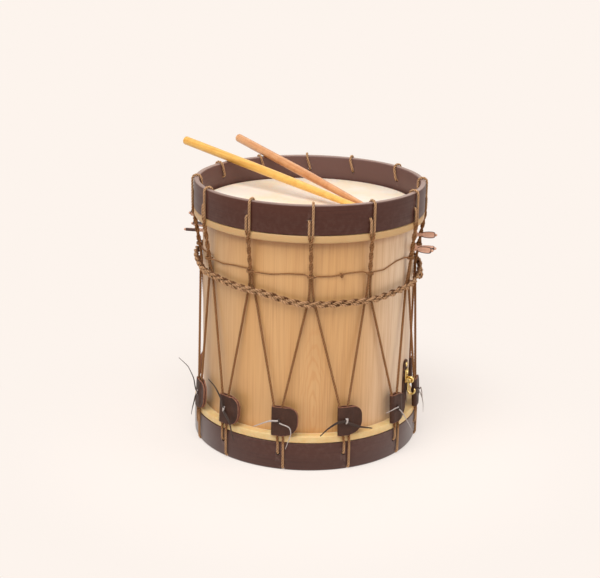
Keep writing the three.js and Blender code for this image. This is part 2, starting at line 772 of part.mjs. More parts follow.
// Gut snares: up from a peg through the upper ring, across under the head and down to the peg opposite
const snareRadius = (ringInner + ringOuter) / 2;

function makeSnares() {
  const lift = pegShaftRadius + seatGap + snareDiameter / 2;
  const high = fromTop(headRecess + skinThickness + seatGap + snareDiameter / 2);
  const rise = (place) => [
    polar(snareRadius, place.azimuth, pegHeight(place) + lift),
    polar(snareRadius, place.azimuth, high - snareDiameter),
    polar(snareRadius - snareDiameter, place.azimuth, high),
  ];
  const across = pegPlaces.length / 2;
  for (let i = 0; i < across; i += 1) {
    const stations = [...rise(pegPlaces[i]), ...rise(pegPlaces[pegPlaces.length - 1 - i]).reverse()];
    addPiece(`snare_${i + 1}`, tube(stations, snareDiameter / 2, snareSides), gut);
  }
}

// Drumsticks: each rests on the top hoop's edge and, with its tip, on the upper head
function makeSticks() {
  const ends = stickEndRound;
  const profile = [
    [0, 0],
    [stickTipRadius - ends, 0],
    [stickTipRadius, ends],
    [stickButtRadius, stickLength / 2],
    [stickButtRadius, stickLength - ends],
    [stickButtRadius - ends, stickLength],
    [0, stickLength],
  ];
  const shape = turned(profile, stickSides);
  for (const { name, rimAzimuth, tip, colour } of stickPlaces) {
    const tipHeight = fromTop(headRecess) + stickTipRadius + 2 * seatGap;
    const tipMiddle = new THREE.Vector3(...tip, tipHeight);
    const restHeight = overallHeight + stickButtRadius + 2 * seatGap;
    const rest = polar((hoopInner + hoopOuter) / 2, rimAzimuth, restHeight);
    const along = rest.sub(tipMiddle).normalize();
    const stick = addPiece(name, shape, material(colour, 0.4));
    stick.position.copy(tipMiddle);
    stick.quaternion.setFromUnitVectors(new THREE.Vector3(0, 0, 1), along);
  }
}

// Hanger: the tab lies on the shell, the bracket's pin carries the hook
const rivetHole = rivetShankRadius + runningGap;
const tabInner = shellOuterRadius + seatGap;
const tabOuter = tabInner + tabThickness;
const plateInner = tabOuter + seatGap;
const plateOuter = plateInner + plateThickness;
const hookEyeRadius = hookPinRadius + runningGap + hookWireRadius;
const hookPinDistance = plateOuter + seatGap + hookEyeRadius + hookWireRadius;

function arcBand(inner, outer, halfWidth) {
  const half = Math.asin(halfWidth / inner);
  const band = new THREE.Shape();
  band.absarc(0, 0, outer, -Math.PI / 2 - half, -Math.PI / 2 + half, false);
  band.absarc(0, 0, inner, -Math.PI / 2 + half, -Math.PI / 2 - half, true);
  return band;
}

function makeTab(parent) {
  const height = tabHighEnd - tabLowEnd;
  const band = arcBand(tabInner, tabOuter, tabWidth / 2);
  const leatherBand = new THREE.ExtrudeGeometry(band, { depth: height, bevelEnabled: false, curveSegments: 4 });
  leatherBand.translate(0, 0, tabLowEnd);
  const outline = new THREE.Shape();
  const half = tabWidth / 2;
  outline.absarc(0, tabLowEnd + half, half, Math.PI, 2 * Math.PI, false);
  outline.absarc(0, tabHighEnd - half, half, 0, Math.PI, false);
  const cutter = new THREE.ExtrudeGeometry(outline, { depth: tabOuter, bevelEnabled: false, curveSegments: 6 });
  cutter.rotateX(Math.PI / 2);
  let tab = solid(leatherBand).intersect(solid(cutter));
  for (const height of [upperRivetHeight, lowerRivetHeight]) {
    tab = tab.subtract(drill(0, height, rivetHole, shellInnerRadius, plateOuter, rivetSides));
  }
  addPiece('hanger_tab', tab, leather, parent);
}

// A rivet through the shell and the tab, with a domed head outside and a flat one inside
function rivetGeometry(headStart) {
  const insideEnd = shellInnerRadius * flat - 2 * seatGap;
  return turned(
    [
      [0, insideEnd - rivetHeadHeight],
      [rivetHeadRadius, insideEnd - rivetHeadHeight],
      [rivetHeadRadius, insideEnd],
      [rivetShankRadius, insideEnd],
      [rivetShankRadius, headStart],
      [rivetHeadRadius, headStart],
      [rivetHeadRadius * Math.SQRT1_2, headStart + rivetHeadHeight * Math.SQRT1_2],
      [0, headStart + rivetHeadHeight],
    ],
    rivetSides,
  ).rotateX(Math.PI / 2);
}

function makeBracket(parent) {
  const plateTop = lowerRivetHeight + plateTopMargin;
  const plateLow = hookPinHeight - hookEyeRadius;
  const plate = new THREE.BoxGeometry(plateWidth, plateThickness, plateTop - plateLow);
  plate.translate(0, -(plateInner + plateOuter) / 2, (plateTop + plateLow) / 2);
  let bracket = solid(plate);
  const earReach = hookPinDistance + hookPinRadius - plateInner;
  for (const side of [-1, 1]) {
    const ear = new THREE.BoxGeometry(earWidth, earReach, 2 * hookPinRadius + earWidth);
    ear.translate(side * (plateWidth - earWidth) / 2, -plateInner - earReach / 2, hookPinHeight);
    bracket = bracket.add(solid(ear));
  }
  const pin = new THREE.CylinderGeometry(hookPinRadius, hookPinRadius, plateWidth - earWidth, rivetSides);
  pin.rotateZ(Math.PI / 2).translate(0, -hookPinDistance, hookPinHeight);
  bracket = bracket.add(solid(pin));
  bracket = bracket.subtract(drill(0, lowerRivetHeight, rivetHole, tabOuter, hookPinDistance, rivetSides));
  addPiece('hook_bracket', bracket, brass, parent);
}

// The hook is one bent wire: an eye round the pin, a shank and an open mouth that points up and out.
function makeHook(parent) {
  const at = (out, up) => new THREE.Vector3(0, -hookPinDistance - out, hookPinHeight + up);
  const arc = (out, up, radius, from, to, steps) =>
    Array.from({ length: steps + 1 }, (_, i) => {
      const a = THREE.MathUtils.degToRad(from + ((to - from) * i) / steps);
      return at(out + radius * Math.cos(a), up + radius * Math.sin(a));
    });
  const stations = [
    ...arc(0, 0, hookEyeRadius, hookEyeStart, 180, 9),
    ...arc(hookMouthRadius - hookEyeRadius, -hookShank, hookMouthRadius, 180, hookMouthEnd, 7),
  ];
  addPiece('hook', tube(stations, hookWireRadius, hookWireSides), brass, parent);
}

function makeHanger() {
  const side = new THREE.Group();
  side.rotation.z = THREE.MathUtils.degToRad(hangerAzimuth);
  drum.add(side);
  makeTab(side);
  addPiece('hanger_rivet_1', rivetGeometry(tabOuter + seatGap), brass, side).position.z = upperRivetHeight;
  addPiece('hanger_rivet_2', rivetGeometry(plateOuter + seatGap), brass, side).position.z = lowerRivetHeight;
  makeBracket(side);
  makeHook(side);
}

const allBays = Array.from({ length: bayCount }, (_, bay) => bay);
makeShell();
makeInnerRing('top_ring', fromTop, true);
makeInnerRing('bottom_ring', fromBottom, false);
makeHead('top_head', 'top_flesh_hoop', fromTop);
makeHead('bottom_head', 'bottom_flesh_hoop', fromBottom);
const topHoles = allBays.map(topHoleAzimuth);
const bottomHoles = allBays.map(bottomHoleAzimuth);
makeHoop('top_hoop', fromTop, topHoleDepth, topHoles, []);
makeHoop('bottom_hoop', fromBottom, bottomHoleDepth, bottomHoles, allBays.map(bottomEdgeAzimuth));
makeRope();
makeBraid();
makeBindingCord();
makeTugs();
makePegs();
makeSnares();
makeSticks();
makeHanger();

export default drum;
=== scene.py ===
"""Dresses a rope-tensioned renaissance drum: wood, skin, hemp rope, leather tugs, pegs and brass."""

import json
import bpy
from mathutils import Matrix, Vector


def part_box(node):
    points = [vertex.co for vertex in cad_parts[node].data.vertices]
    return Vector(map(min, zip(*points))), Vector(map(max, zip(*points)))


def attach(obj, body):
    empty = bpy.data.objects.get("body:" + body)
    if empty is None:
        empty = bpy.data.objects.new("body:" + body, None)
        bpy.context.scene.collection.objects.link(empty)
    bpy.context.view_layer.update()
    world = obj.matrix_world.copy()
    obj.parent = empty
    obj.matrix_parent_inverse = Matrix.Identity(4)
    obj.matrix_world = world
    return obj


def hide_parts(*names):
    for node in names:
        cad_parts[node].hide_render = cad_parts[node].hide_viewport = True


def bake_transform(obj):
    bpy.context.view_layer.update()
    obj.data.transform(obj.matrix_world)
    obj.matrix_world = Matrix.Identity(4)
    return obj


bl_info = {
    "name": "Renaissance Drum",
    "version": (1, 0, 0),
    "blender": (4, 5, 0),
    "location": "View3D > Sidebar > Drum",
    "description": "Models and finishes the pieces of a rope-tensioned drum around its frame",
    "category": "Object",
}

from math import asin, atan, atan2, cos, degrees, floor, pi, radians, sin, sqrt

import bpy
from bpy.props import FloatProperty, FloatVectorProperty, IntProperty, PointerProperty
from mathutils import Matrix, Vector

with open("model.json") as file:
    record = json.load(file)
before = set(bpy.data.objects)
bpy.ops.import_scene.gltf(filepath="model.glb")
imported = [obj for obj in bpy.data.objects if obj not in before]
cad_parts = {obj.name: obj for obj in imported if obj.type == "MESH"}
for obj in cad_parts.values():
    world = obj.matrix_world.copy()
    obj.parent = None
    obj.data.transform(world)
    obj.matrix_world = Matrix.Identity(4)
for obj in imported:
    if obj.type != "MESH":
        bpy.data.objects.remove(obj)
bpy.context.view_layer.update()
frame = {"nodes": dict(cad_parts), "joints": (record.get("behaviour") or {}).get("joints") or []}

# Places that come from the frame, in metres; azimuths are in degrees, 0 in front and 90 on the right
MM = 0.001
BAYS = 12
BAY = 360 / BAYS
GAP = 0.3 * MM  # between pieces that all but touch
SHELL_LOW, SHELL_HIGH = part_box("shell")
HOOP_LOW, HOOP_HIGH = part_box("top_hoop")
HEAD_LOW, HEAD_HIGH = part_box("top_head")
JOINTS = {joint["name"]: joint for joint in frame["joints"]}
TOP = HOOP_HIGH.z
HOOP_HEIGHT = HOOP_HIGH.z - HOOP_LOW.z
HOOP_RADIUS = HOOP_HIGH.x
SHELL_RADIUS = SHELL_HIGH.x
LAP_RADIUS = HEAD_HIGH.x
HEAD_DEPTH = TOP - HEAD_HIGH.z
LAP_DEPTH = HOOP_HEIGHT + GAP
LAP_END = TOP - HEAD_LOW.z


def linear(code):
    """Scene-linear colour with alpha of a six-digit sRGB code."""
    parts = [int(code[i:i + 2], 16) / 255 for i in (0, 2, 4)]
    return (*[p / 12.92 if p <= 0.04045 else ((p + 0.055) / 1.055) ** 2.4 for p in parts], 1.0)


def length(name, description, size):
    """A length property; its default is in millimetres."""
    return FloatProperty(
        name=name, description=description, default=size * MM, min=0, precision=4, unit="LENGTH"
    )


def colour(name, description, code):
    return FloatVectorProperty(
        name=name, description=description, default=linear(code), size=4, min=0, max=1, subtype="COLOR"
    )


class DrumSizes(bpy.types.PropertyGroup):
    """Sizes of the dressed drum"""

    round_steps: IntProperty(
        name="Round steps", description="Steps of the large turned rounds", default=216, min=36
    )
    shell_wall: length("Shell wall", "Thickness of the bent shell", 5)
    hoop_wall: length("Hoop wall", "Thickness of a counter hoop", 8)
    edge_round: length("Edge round", "Round of a hoop's free edge", 3)
    skin: length("Skin", "Thickness of a head's skin", 1)
    lap_round: length("Lap round", "Round of the skin lapped over the flesh hoop", 2.6)
    rope: length("Rope", "Diameter of the tension rope", 3.9)
    rope_lay: length("Rope lay", "Length of one turn of the rope's strands", 13)
    pair_twist: length("Pair twist", "How far each rope of a pair goes in and out as the two twist", 1.8)
    plait_rope: length("Plait rope", "Diameter of each strand of the plaited girdle", 4)
    plait_rise: length("Plait rise", "How far a plait's strand goes up and down", 3.1)
    plait_depth: length("Plait depth", "How far a plait's strand goes in and out", 2)
    cord: length("Thin cord", "Diameter of the thin cord round the rope pairs", 2)
    leather: length("Leather", "Thickness of the tugs' leather", 1.9)
    lace_width: length("Lace width", "Width of a tug's pale lace", 2.6)
    lace_thickness: length("Lace thickness", "Thickness of a tug's lace", 1.2)
    stick_length: length("Stick length", "Length of a drumstick", 348)
    stick_butt: length("Stick butt", "Radius of a drumstick at its butt", 6.4)
    yellow_tip: length("Yellow stick tip", "Radius of the yellow drumstick at its tip", 4.1)
    brown_tip: length("Brown stick tip", "Radius of the brown drumstick at its tip", 2.9)
    hook_wire: length("Hook wire", "Radius of the brass hook's wire", 1.4)


class DrumColours(bpy.types.PropertyGroup):
    """Colours of the drum's finishes"""

    pine: colour("Pine", "Shell between its growth lines", "d6a66e")
    pine_line: colour("Pine lines", "Growth lines of the shell", "b57c47")
    stain: colour("Stain", "Stained wood of the hoops", "4e2a1f")
    stain_inside_reflection: colour("Inner stain", "Thinner stain on the hoops' inner side", "735650")
    # Painted reflection: the paler colour of the hoops' inner side.
    stain_dark: colour("Dark stain", "Pores and hollows of the hoops", "381d16")
    skin: colour("Skin", "Skin of the heads", "f5e8d9")
    skin_aged: colour("Aged skin", "Yellowed skin at the heads' laps", "dfb87a")
    hemp: colour("Hemp", "Rope and cord against the shell", "b27e50")
    # Pale hemp gives the light fibres, and the painted light on the rope over the hoops and on the plait's
    # outer strands.
    hemp_pale: colour("Pale hemp", "Rope that is rubbed over the hoops", "e4b588")
    # Dark hemp is the painted shade in the rope's grooves and the plait's depths, and the dark of its fibres.
    hemp_dark: colour("Dark hemp", "Grooves between the rope's strands", "5a3823")
    leather: colour("Leather", "Grain side of the tugs", "533528")
    raw_leather: colour("Raw leather", "Cut edges of the tugs", "a8745a")
    lace: colour("Lace", "Laces of the tugs", "4a3a33")
    # Painted sheen: the pale laces are a lit copy of the dark lace.
    lace_pale: colour("Pale lace", "Laces whose pale flesh side is out", "c6bab4")
    peg: colour("Peg", "Faces of the pegs", "dcab90")
    peg_dark: colour("Dark peg", "Edges of the pegs", "4a2b22")
    gut: colour("Gut", "Snares", "e6d9b0")
    brass: colour("Brass", "Hook, bracket and rivets", "ead08c")
    yellow_stick: colour("Yellow stick", "Varnish of the left drumstick", "fccc6e")
    brown_stick: colour("Brown stick", "Varnish of the right drumstick", "ecb27c")
    backdrop: colour("Backdrop", "Floor and surroundings", "fdf4ed")


# Geometry helpers

def polar(radius, azimuth, height):
    a = radians(azimuth)
    return Vector((radius * sin(a), -radius * cos(a), height))


def along(arc, radius):
    """Azimuth step, in degrees, of an arc's length at a radius."""
    return degrees(arc / radius)


def turned(angle, axis):
    return Matrix.Rotation(angle, 4, axis)


def clamp(share):
    return min(1, max(0, share))


def ease(share):
    """A share from 0 to 1 that starts and ends softly."""
    return share * share * (3 - 2 * share)


def mm(points):
    """Pairs of lengths in millimetres, as metres."""
    return [(a * MM, b * MM) for a, b in points]


def select(*objects):
    if bpy.context.object and bpy.context.object.mode != "OBJECT":
        bpy.ops.object.mode_set(mode="OBJECT")
    bpy.ops.object.select_all(action="DESELECT")
    for obj in objects:
        obj.select_set(True)
        bpy.context.view_layer.objects.active = obj


def joined(*objects):
    """One object made of several, under the last one's name."""
    select(*objects)
    bpy.ops.object.join()
    return bpy.context.object


def modify(obj, kind, **settings):
    """Adds a modifier with these settings and applies it."""
    select(obj)
    bpy.ops.object.modifier_add(type=kind)
    modifier = obj.modifiers[-1]
    for key, value in settings.items():
        setattr(modifier, key, value)
    bpy.ops.object.modifier_apply(modifier=modifier.name)


def settle(obj, matrix=None):
    """Puts an object's place into its mesh."""
    if matrix is not None:
        obj.matrix_world = matrix @ obj.matrix_world
    select(obj)
    bpy.ops.object.transform_apply(location=True, rotation=True, scale=True)


def smooth(obj, angle):
    select(obj)
    bpy.ops.object.shade_smooth_by_angle(angle=radians(angle))


def face_out():
    """In edit mode, turns all faces outwards, and goes back to object mode."""
    bpy.ops.mesh.select_all(action="SELECT")
    bpy.ops.mesh.normals_make_consistent(inside=False)
    bpy.ops.object.mode_set(mode="OBJECT")


def lathe(name, profile, steps):
    """Extrudes one vertex along a profile of (radius, height) points and spins the line round Z."""
    select()
    bpy.ops.mesh.primitive_plane_add(size=MM)
    obj = bpy.context.object
    obj.name = name
    bpy.ops.object.mode_set(mode="EDIT")
    bpy.ops.mesh.select_mode(type="VERT")
    bpy.ops.mesh.select_all(action="SELECT")
    bpy.ops.mesh.merge(type="CENTER")
    bpy.ops.transform.translate(value=(profile[0][0], 0, profile[0][1]))
    for (r0, z0), (r1, z1) in zip(profile, profile[1:]):
        bpy.ops.mesh.extrude_region_move(TRANSFORM_OT_translate={"value": (r1 - r0, 0, z1 - z0)})
    bpy.ops.mesh.select_all(action="SELECT")
    bpy.ops.mesh.spin(steps=steps, angle=2 * pi, center=(0, 0, 0), axis=(0, 0, 1))
    bpy.ops.mesh.select_all(action="SELECT")
    bpy.ops.mesh.remove_doubles(threshold=0.001 * MM)
    face_out()
    return obj


def arc(centre, radius, start, end, steps):
    """(radius, height) points of an arc, its angles in degrees from straight out."""
    turns = [radians(start + (end - start) * i / steps) for i in range(steps + 1)]
    return [(centre[0] + radius * cos(a), centre[1] + radius * sin(a)) for a in turns]


def cut(obj, cutters):
    """Takes the cutters' space out of a piece and deletes them."""
    cutter = joined(*cutters)
    modify(obj, "BOOLEAN", object=cutter, operation="DIFFERENCE", solver="EXACT")
    bpy.data.objects.remove(cutter)


def drill(radius, azimuth, height, inner, outer):
    """A rod along a radial line of the drum, for cutting; it stands out of the wall on both sides."""
    bpy.ops.mesh.primitive_cylinder_add(
        vertices=24, radius=radius, depth=outer - inner + 10 * MM,
        location=polar((inner + outer) / 2, azimuth, height), rotation=(pi / 2, 0, radians(azimuth)),
    )
    return bpy.context.object


def distances(points):
    """How far along a line each of its points is."""
    reached = [0.0]
    for a, b in zip(points, points[1:]):
        reached.append(reached[-1] + (b - a).length)
    return reached


def soften(points, spacing, rounds):
    """Spaces a line's points evenly and rounds its corners; the two ends stay."""
    reached = distances(points)
    count = max(2, round(reached[-1] / spacing))
    line, j = [], 0
    for i in range(count + 1):
        at = reached[-1] * i / count
        while j < len(points) - 2 and reached[j + 1] < at:
            j += 1
        share = (at - reached[j]) / max(1e-12, reached[j + 1] - reached[j])
        line.append(points[j].lerp(points[j + 1], share))
    for _ in range(rounds):
        line[1:-1] = [(a + 2 * b + c) / 4 for a, b, c in zip(line, line[1:], line[2:])]
    return line


def round_section(radius, sides):
    return [(radius * cos(2 * pi * i / sides), radius * sin(2 * pi * i / sides)) for i in range(sides)]


def laid_section(radius, strands=3, groove=0.42):
    """Outline of a rope of laid strands: a round lobe of four points for each strand."""
    lobes = [groove + (1 - groove) * sqrt(abs(cos(pi * i / 4))) for i in range(strands * 4)]
    return [(x * lobe, y * lobe) for (x, y), lobe in zip(round_section(radius, strands * 4), lobes)]


def flat_section(width, thickness):
    """Outline of a strap with its four edges rounded; its width runs along the second axis."""
    w, t = width / 2, thickness / 2
    e = t * 0.6
    half = [(t, -w + e), (t, 0), (t, w - e), (t - e, w), (e - t, w)]
    return half + [(-x, -y) for x, y in half]


def sweep(name, routes, section, lay=None, closed=False, facing=None, taper=None):
    """One tube along each route. The section turns once in each length of lay, and UV follows the tube."""
    corners, faces, uvs = [], [], []
    sides = len(section)
    for route in routes:
        base, count, normal = len(corners), len(route), facing
        line = [*route, route[0]] if closed else route
        reached = distances(line)
        turns = max(1, round(reached[-1] / lay)) if lay else 0
        for i, point in enumerate(route):
            before = route[i - 1] if i or closed else point
            tangent = (line[min(i + 1, len(line) - 1)] - before).normalized()
            if closed:
                normal = Vector((0, 0, 1))
            elif normal is None:
                normal = tangent.orthogonal()
            normal = (normal - tangent * normal.dot(tangent)).normalized()
            side = tangent.cross(normal)
            share = reached[i] / reached[-1]
            size = taper(share) if taper else 1
            c, s = size * cos(2 * pi * turns * share), size * sin(2 * pi * turns * share)
            corners += [point + (x * c - y * s) * normal + (x * s + y * c) * side for x, y in section]
        marks = [at / (lay or 10 * MM) for at in reached]
        for i in range(len(line) - 1):
            here, there = base + i * sides, base + (i + 1) % count * sides
            for k in range(sides):
                k1 = (k + 1) % sides
                faces.append((here + k, here + k1, there + k1, there + k))
                u0, u1, v0, v1 = k / sides, (k + 1) / sides, marks[i], marks[i + 1]
                uvs += [u0, v0, u1, v0, u1, v1, u0, v1]
        if not closed:
            last = base + (count - 1) * sides
            faces += [tuple(range(base + sides - 1, base - 1, -1)), tuple(range(last, last + sides))]
            ends = [(k / sides, mark) for mark in (marks[0], marks[-1]) for k in range(sides)]
            uvs += [each for corner in ends for each in corner]
    mesh = bpy.data.meshes.new(name)
    mesh.from_pydata(corners, [], faces)
    mesh.uv_layers.new(name="UVMap").data.foreach_set("uv", uvs)
    obj = bpy.data.objects.new(name, mesh)
    bpy.context.scene.collection.objects.link(obj)
    mesh.shade_smooth()
    return obj


def sheet(name, columns, rows, place, thickness, bevel, looks=(), **edge):
    """Leather whose corners go to place(u, v), with u and v from 0 to 1, thickened and with soft edges."""
    select()
    bpy.ops.mesh.primitive_grid_add(x_subdivisions=columns, y_subdivisions=rows, size=1)
    obj = bpy.context.object
    obj.name = name
    for corner in obj.data.vertices:
        corner.co = place(corner.co.x + 0.5, corner.co.y + 0.5)
    for look in looks:
        obj.data.materials.append(shade(look))
    modify(obj, "SOLIDIFY", thickness=thickness, offset=0, material_offset_rim=1)
    modify(obj, "BEVEL", width=bevel, segments=2, limit_method="ANGLE", angle_limit=radians(50), **edge)
    return obj


def finish_sheet(obj, angle):
    """Turns a sheet's faces outwards and smooths it."""
    select(obj)
    bpy.ops.object.mode_set(mode="EDIT")
    face_out()
    smooth(obj, angle)


def dress(obj, look, body=None, stands_for=(), edge=None, angle=None):
    """Gives a piece its finish, the body it rides on and the solids it stands for."""
    if angle:
        smooth(obj, angle)
    for name in (look, edge):
        if name and "drum_" + name not in obj.data.materials:
            obj.data.materials.append(shade(name))
    if stands_for:
        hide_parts(*stands_for)
    if body:
        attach(obj, body)


# Node helpers

class Nodes:
    """Writes shader nodes into a tree; a six-digit code stands for its colour."""

    def __init__(self, tree):
        self.tree = tree

    def feed(self, socket, value):
        """Joins an output to a socket, or sets the socket to a value."""
        if isinstance(value, bpy.types.NodeSocket):
            self.tree.links.new(value, socket)
        else:
            socket.default_value = linear(value) if isinstance(value, str) else value

    def put(self, kind, inputs, **settings):
        """A new node with these settings and inputs; returns its outputs."""
        node = self.tree.nodes.new("ShaderNode" + kind)
        for key, value in settings.items():
            setattr(node, key, value)
        for key, value in inputs.items():
            self.feed(node.inputs[key], value)
        return node.outputs

    def group(self, name, **values):
        """A shared group, made at its first use, with these inputs; returns its outputs."""
        if name not in bpy.data.node_groups:
            new_group(name, *GROUPS[name])
        return self.put("Group", values, node_tree=bpy.data.node_groups[name])

    def calc(self, operation, a, b=0.0):
        return self.put("Math", {0: a, 1: b}, operation=operation)[0]

    def times(self, a, b):
        return self.calc("MULTIPLY", a, b)

    def add(self, a, b):
        return self.calc("ADD", a, b)

    def most(self, a, b):
        return self.calc("MAXIMUM", a, b)

    def parts(self, vector):
        return self.put("SeparateXYZ", {0: vector})

    def joined(self, x, y, z=0.0):
        return self.put("CombineXYZ", {0: x, 1: y, 2: z})[0]

    def reach(self, vector):
        return self.put("VectorMath", {0: vector}, operation="LENGTH")["Value"]

    def stretch(self, vector, scale=(1, 1, 1), turn=(0, 0, 0), shift=(0, 0, 0)):
        return self.put("Mapping", {"Vector": vector, "Location": shift, "Rotation": turn, "Scale": scale})[0]

    def noise(self, vector, scale, detail=2.0, rough=0.5):
        inputs = {"Vector": vector, "Scale": scale, "Detail": detail, "Roughness": rough}
        return self.put("TexNoise", inputs)["Fac"]

    def span(self, value, low, high, to_low=0.0, to_high=1.0):
        """A value from one range taken to another, and kept inside it."""
        limits = {"Value": value, "From Min": low, "From Max": high, "To Min": to_low, "To Max": to_high}
        return self.put("MapRange", limits, interpolation_type="SMOOTHSTEP")[0]

    def mix(self, share, a, b):
        return self.put("Mix", {0: share, 6: a, 7: b}, data_type="RGBA")[2]

    def bump(self, height, strength, depth):
        return self.put("Bump", {"Height": height, "Strength": strength, "Distance": depth * MM})[0]

    def show(self, output, soft, plain, share=1.0):
        """Lights with a soft shader; what sees it straight, mirrored or through glass gets a plain one."""
        paths = self.put("LightPath", {})
        seen = self.most(paths["Is Camera Ray"], paths["Is Glossy Ray"])
        seen = self.most(seen, paths["Is Transmission Ray"])
        mixed = self.put("MixShader", {0: self.times(seen, share), 1: soft, 2: plain})
        self.feed(self.tree.nodes[output].inputs["Surface"], mixed[0])


class Finish(Nodes):
    """A new material with a Principled surface, and the nodes that feed it."""

    def __init__(self, name):
        self.material = bpy.data.materials.new("drum_" + name)
        self.material.use_nodes = True
        super().__init__(self.material.node_tree)
        self.surface = self.tree.nodes["Principled BSDF"]
        coords = self.put("TexCoord", {})
        self.place, self.uv = coords["Object"], coords["UV"]

    def set(self, **inputs):
        """Feeds the surface's inputs, whose names have an underscore for each space."""
        for key, value in inputs.items():
            self.feed(self.surface.inputs[key.replace("_", " ")], value)

    def unrolled(self):
        """Arc length round the drum, height and radius: as a vector, and each by itself."""
        vector = self.group("Unrolled", Vector=self.place)[0]
        return (vector, *self.parts(vector))

    def wood(self, grain, tone, rough, relief, depth, **others):
        """Sets a wooden surface, whose gloss and relief follow its fibres."""
        gloss = self.span(grain["Fibres"], 0.2, 0.8, *rough)
        self.set(Base_Color=tone, Roughness=gloss, Normal=self.bump(grain["Fibres"], relief, depth), **others)


def new_group(name, fill, inputs, outputs):
    """A shader node group; its sockets called Vector or UV are vectors, and the others numbers."""
    tree = bpy.data.node_groups.new(name, "ShaderNodeTree")
    for way, labels in (("INPUT", inputs), ("OUTPUT", outputs)):
        for label in labels:
            kind = "Vector" if label in ("Vector", "UV") else "Float"
            tree.interface.new_socket(name=label, in_out=way, socket_type="NodeSocket" + kind)
    start, end = tree.nodes.new("NodeGroupInput"), tree.nodes.new("NodeGroupOutput")
    nodes = Nodes(tree)
    for label, value in zip(outputs, fill(nodes, *[start.outputs[label] for label in inputs])):
        nodes.feed(end.inputs[label], value)


def unrolled_group(n, vector):
    """Object coordinates as arc length round the drum, height and radius, in metres."""
    x, y, z = n.parts(vector)
    turn = n.calc("ARCTAN2", x, n.times(y, -1.0))
    radius = n.calc("SQRT", n.add(n.times(x, x), n.times(y, y)))
    return [n.joined(n.times(turn, SHELL_RADIUS), z, radius)]


def grain_group(n, vector, rings):
    """Growth lines, fibres and tone of wood whose grain runs along the vector's second axis."""
    drift = n.noise(n.stretch(vector, (1, 0.09, 1)), 13, 1.2, 0.35)
    wave = n.calc("SINE", n.times(drift, rings))
    lines = n.calc("POWER", n.add(n.times(wave, 0.5), 0.5), 2.5)
    patchy = n.span(n.noise(n.stretch(vector, (1, 0.15, 1)), 22), 0.3, 0.72)
    fibres = n.noise(n.stretch(vector, (1, 0.012, 1)), 850, 3, 0.6)
    return n.times(lines, patchy), fibres, n.noise(n.stretch(vector, (1, 0.08, 1)), 34)


def leather_group(n, vector):
    """Creases, tone and height of grained leather."""
    cells = n.put("TexVoronoi", {"Vector": vector, "Scale": 950}, feature="DISTANCE_TO_EDGE")
    creases = n.span(cells["Distance"], 0.02, 0.22)
    tone = n.noise(vector, 70, 3, 0.6)
    return creases, tone, n.add(creases, n.times(tone, 1.5))


def rope_group(n, uv, strands):
    """Grooves between a rope's strands, its fibres and a height, from the rope's own UV."""
    u, v, _ = n.parts(uv)
    ridge = n.calc("ABSOLUTE", n.calc("COSINE", n.times(n.times(u, strands), pi)))
    fibres = n.noise(n.joined(n.times(n.add(u, v), 34.0), n.times(v, 2.2)), 1.0, 4, 0.65)
    return n.span(ridge, 0.75, 0.15), fibres, n.add(n.times(ridge, 0.4), fibres)


def wear_group(n, vector):
    """Mask of rubbed edges, broken up by blotches."""
    edges = n.span(n.put("NewGeometry", {})["Pointiness"], 0.51, 0.56)
    return [n.times(edges, n.span(n.noise(vector, 160, 4, 0.7), 0.42, 0.66))]


GROUPS = {
    "Unrolled": (unrolled_group, ["Vector"], ["Vector"]),
    "Wood Grain": (grain_group, ["Vector", "Rings"], ["Lines", "Fibres", "Tone"]),
    "Leather Grain": (leather_group, ["Vector"], ["Creases", "Tone", "Height"]),
    "Rope Lay": (rope_group, ["UV", "Strands"], ["Groove", "Fibres", "Height"]),
    "Edge Wear": (wear_group, ["Vector"], ["Wear"]),
}


def pine_finish(n, colours):
    """Pale bent pine with fine upright grain and a flame figure low in front, under a thin satin varnish; its
    sides are painted paler as a sheen, and a shadow is painted under the upper lap.
    """
    place, around, height, _ = n.unrolled()
    grain = n.group("Wood Grain", Vector=place, Rings=115.0)
    toned = n.mix(n.span(grain["Tone"], 0.25, 0.75), colours.pine, "d29f64")
    # Painted reflection: the shell's left and right sides are painted greyer and paler, as glancing light
    # shows them.
    left = n.times(n.span(around, -0.07, -0.17, 0, 0.6), n.span(around, -0.38, -0.22))
    right = n.times(n.span(around, 0.05, 0.16, 0, 0.75), n.span(around, 0.36, 0.2))
    side_sheen = n.mix(right, n.mix(left, toned, "c3a27a"), "ecd4b8")
    lined = n.mix(n.times(grain["Lines"], 0.2), side_sheen, colours.pine_line)
    reach = n.reach(n.stretch(place, (34, 5.5, 0), shift=(-0.3, -0.45, 0)))
    wander = n.times(n.noise(n.stretch(place, (1, 0.25, 1)), 70), 0.5)
    ring = n.calc("SINE", n.times(n.add(reach, wander), 40.0))
    flame = n.times(n.span(ring, -0.1, 0.9), n.span(reach, 1.0, 0.3, 0, 0.42))
    flamed = n.mix(flame, lined, "cb8c4c")
    fibred = n.mix(n.span(grain["Fibres"], 0.42, 0.72, 0, 0.42), flamed, colours.pine_line)
    # Painted shadow: the shell is darkened just under the upper lap, where the lap's shadow falls.
    lap_shadow = n.span(height, HEAD_LOW.z - 14 * MM, HEAD_LOW.z - 1 * MM, 0, 0.55)
    tone = n.mix(lap_shadow, fibred, "8a552c")
    n.wood(grain, tone, (0.42, 0.58), 0.12, 0.4, Coat_Weight=0.3, Coat_Roughness=0.3)


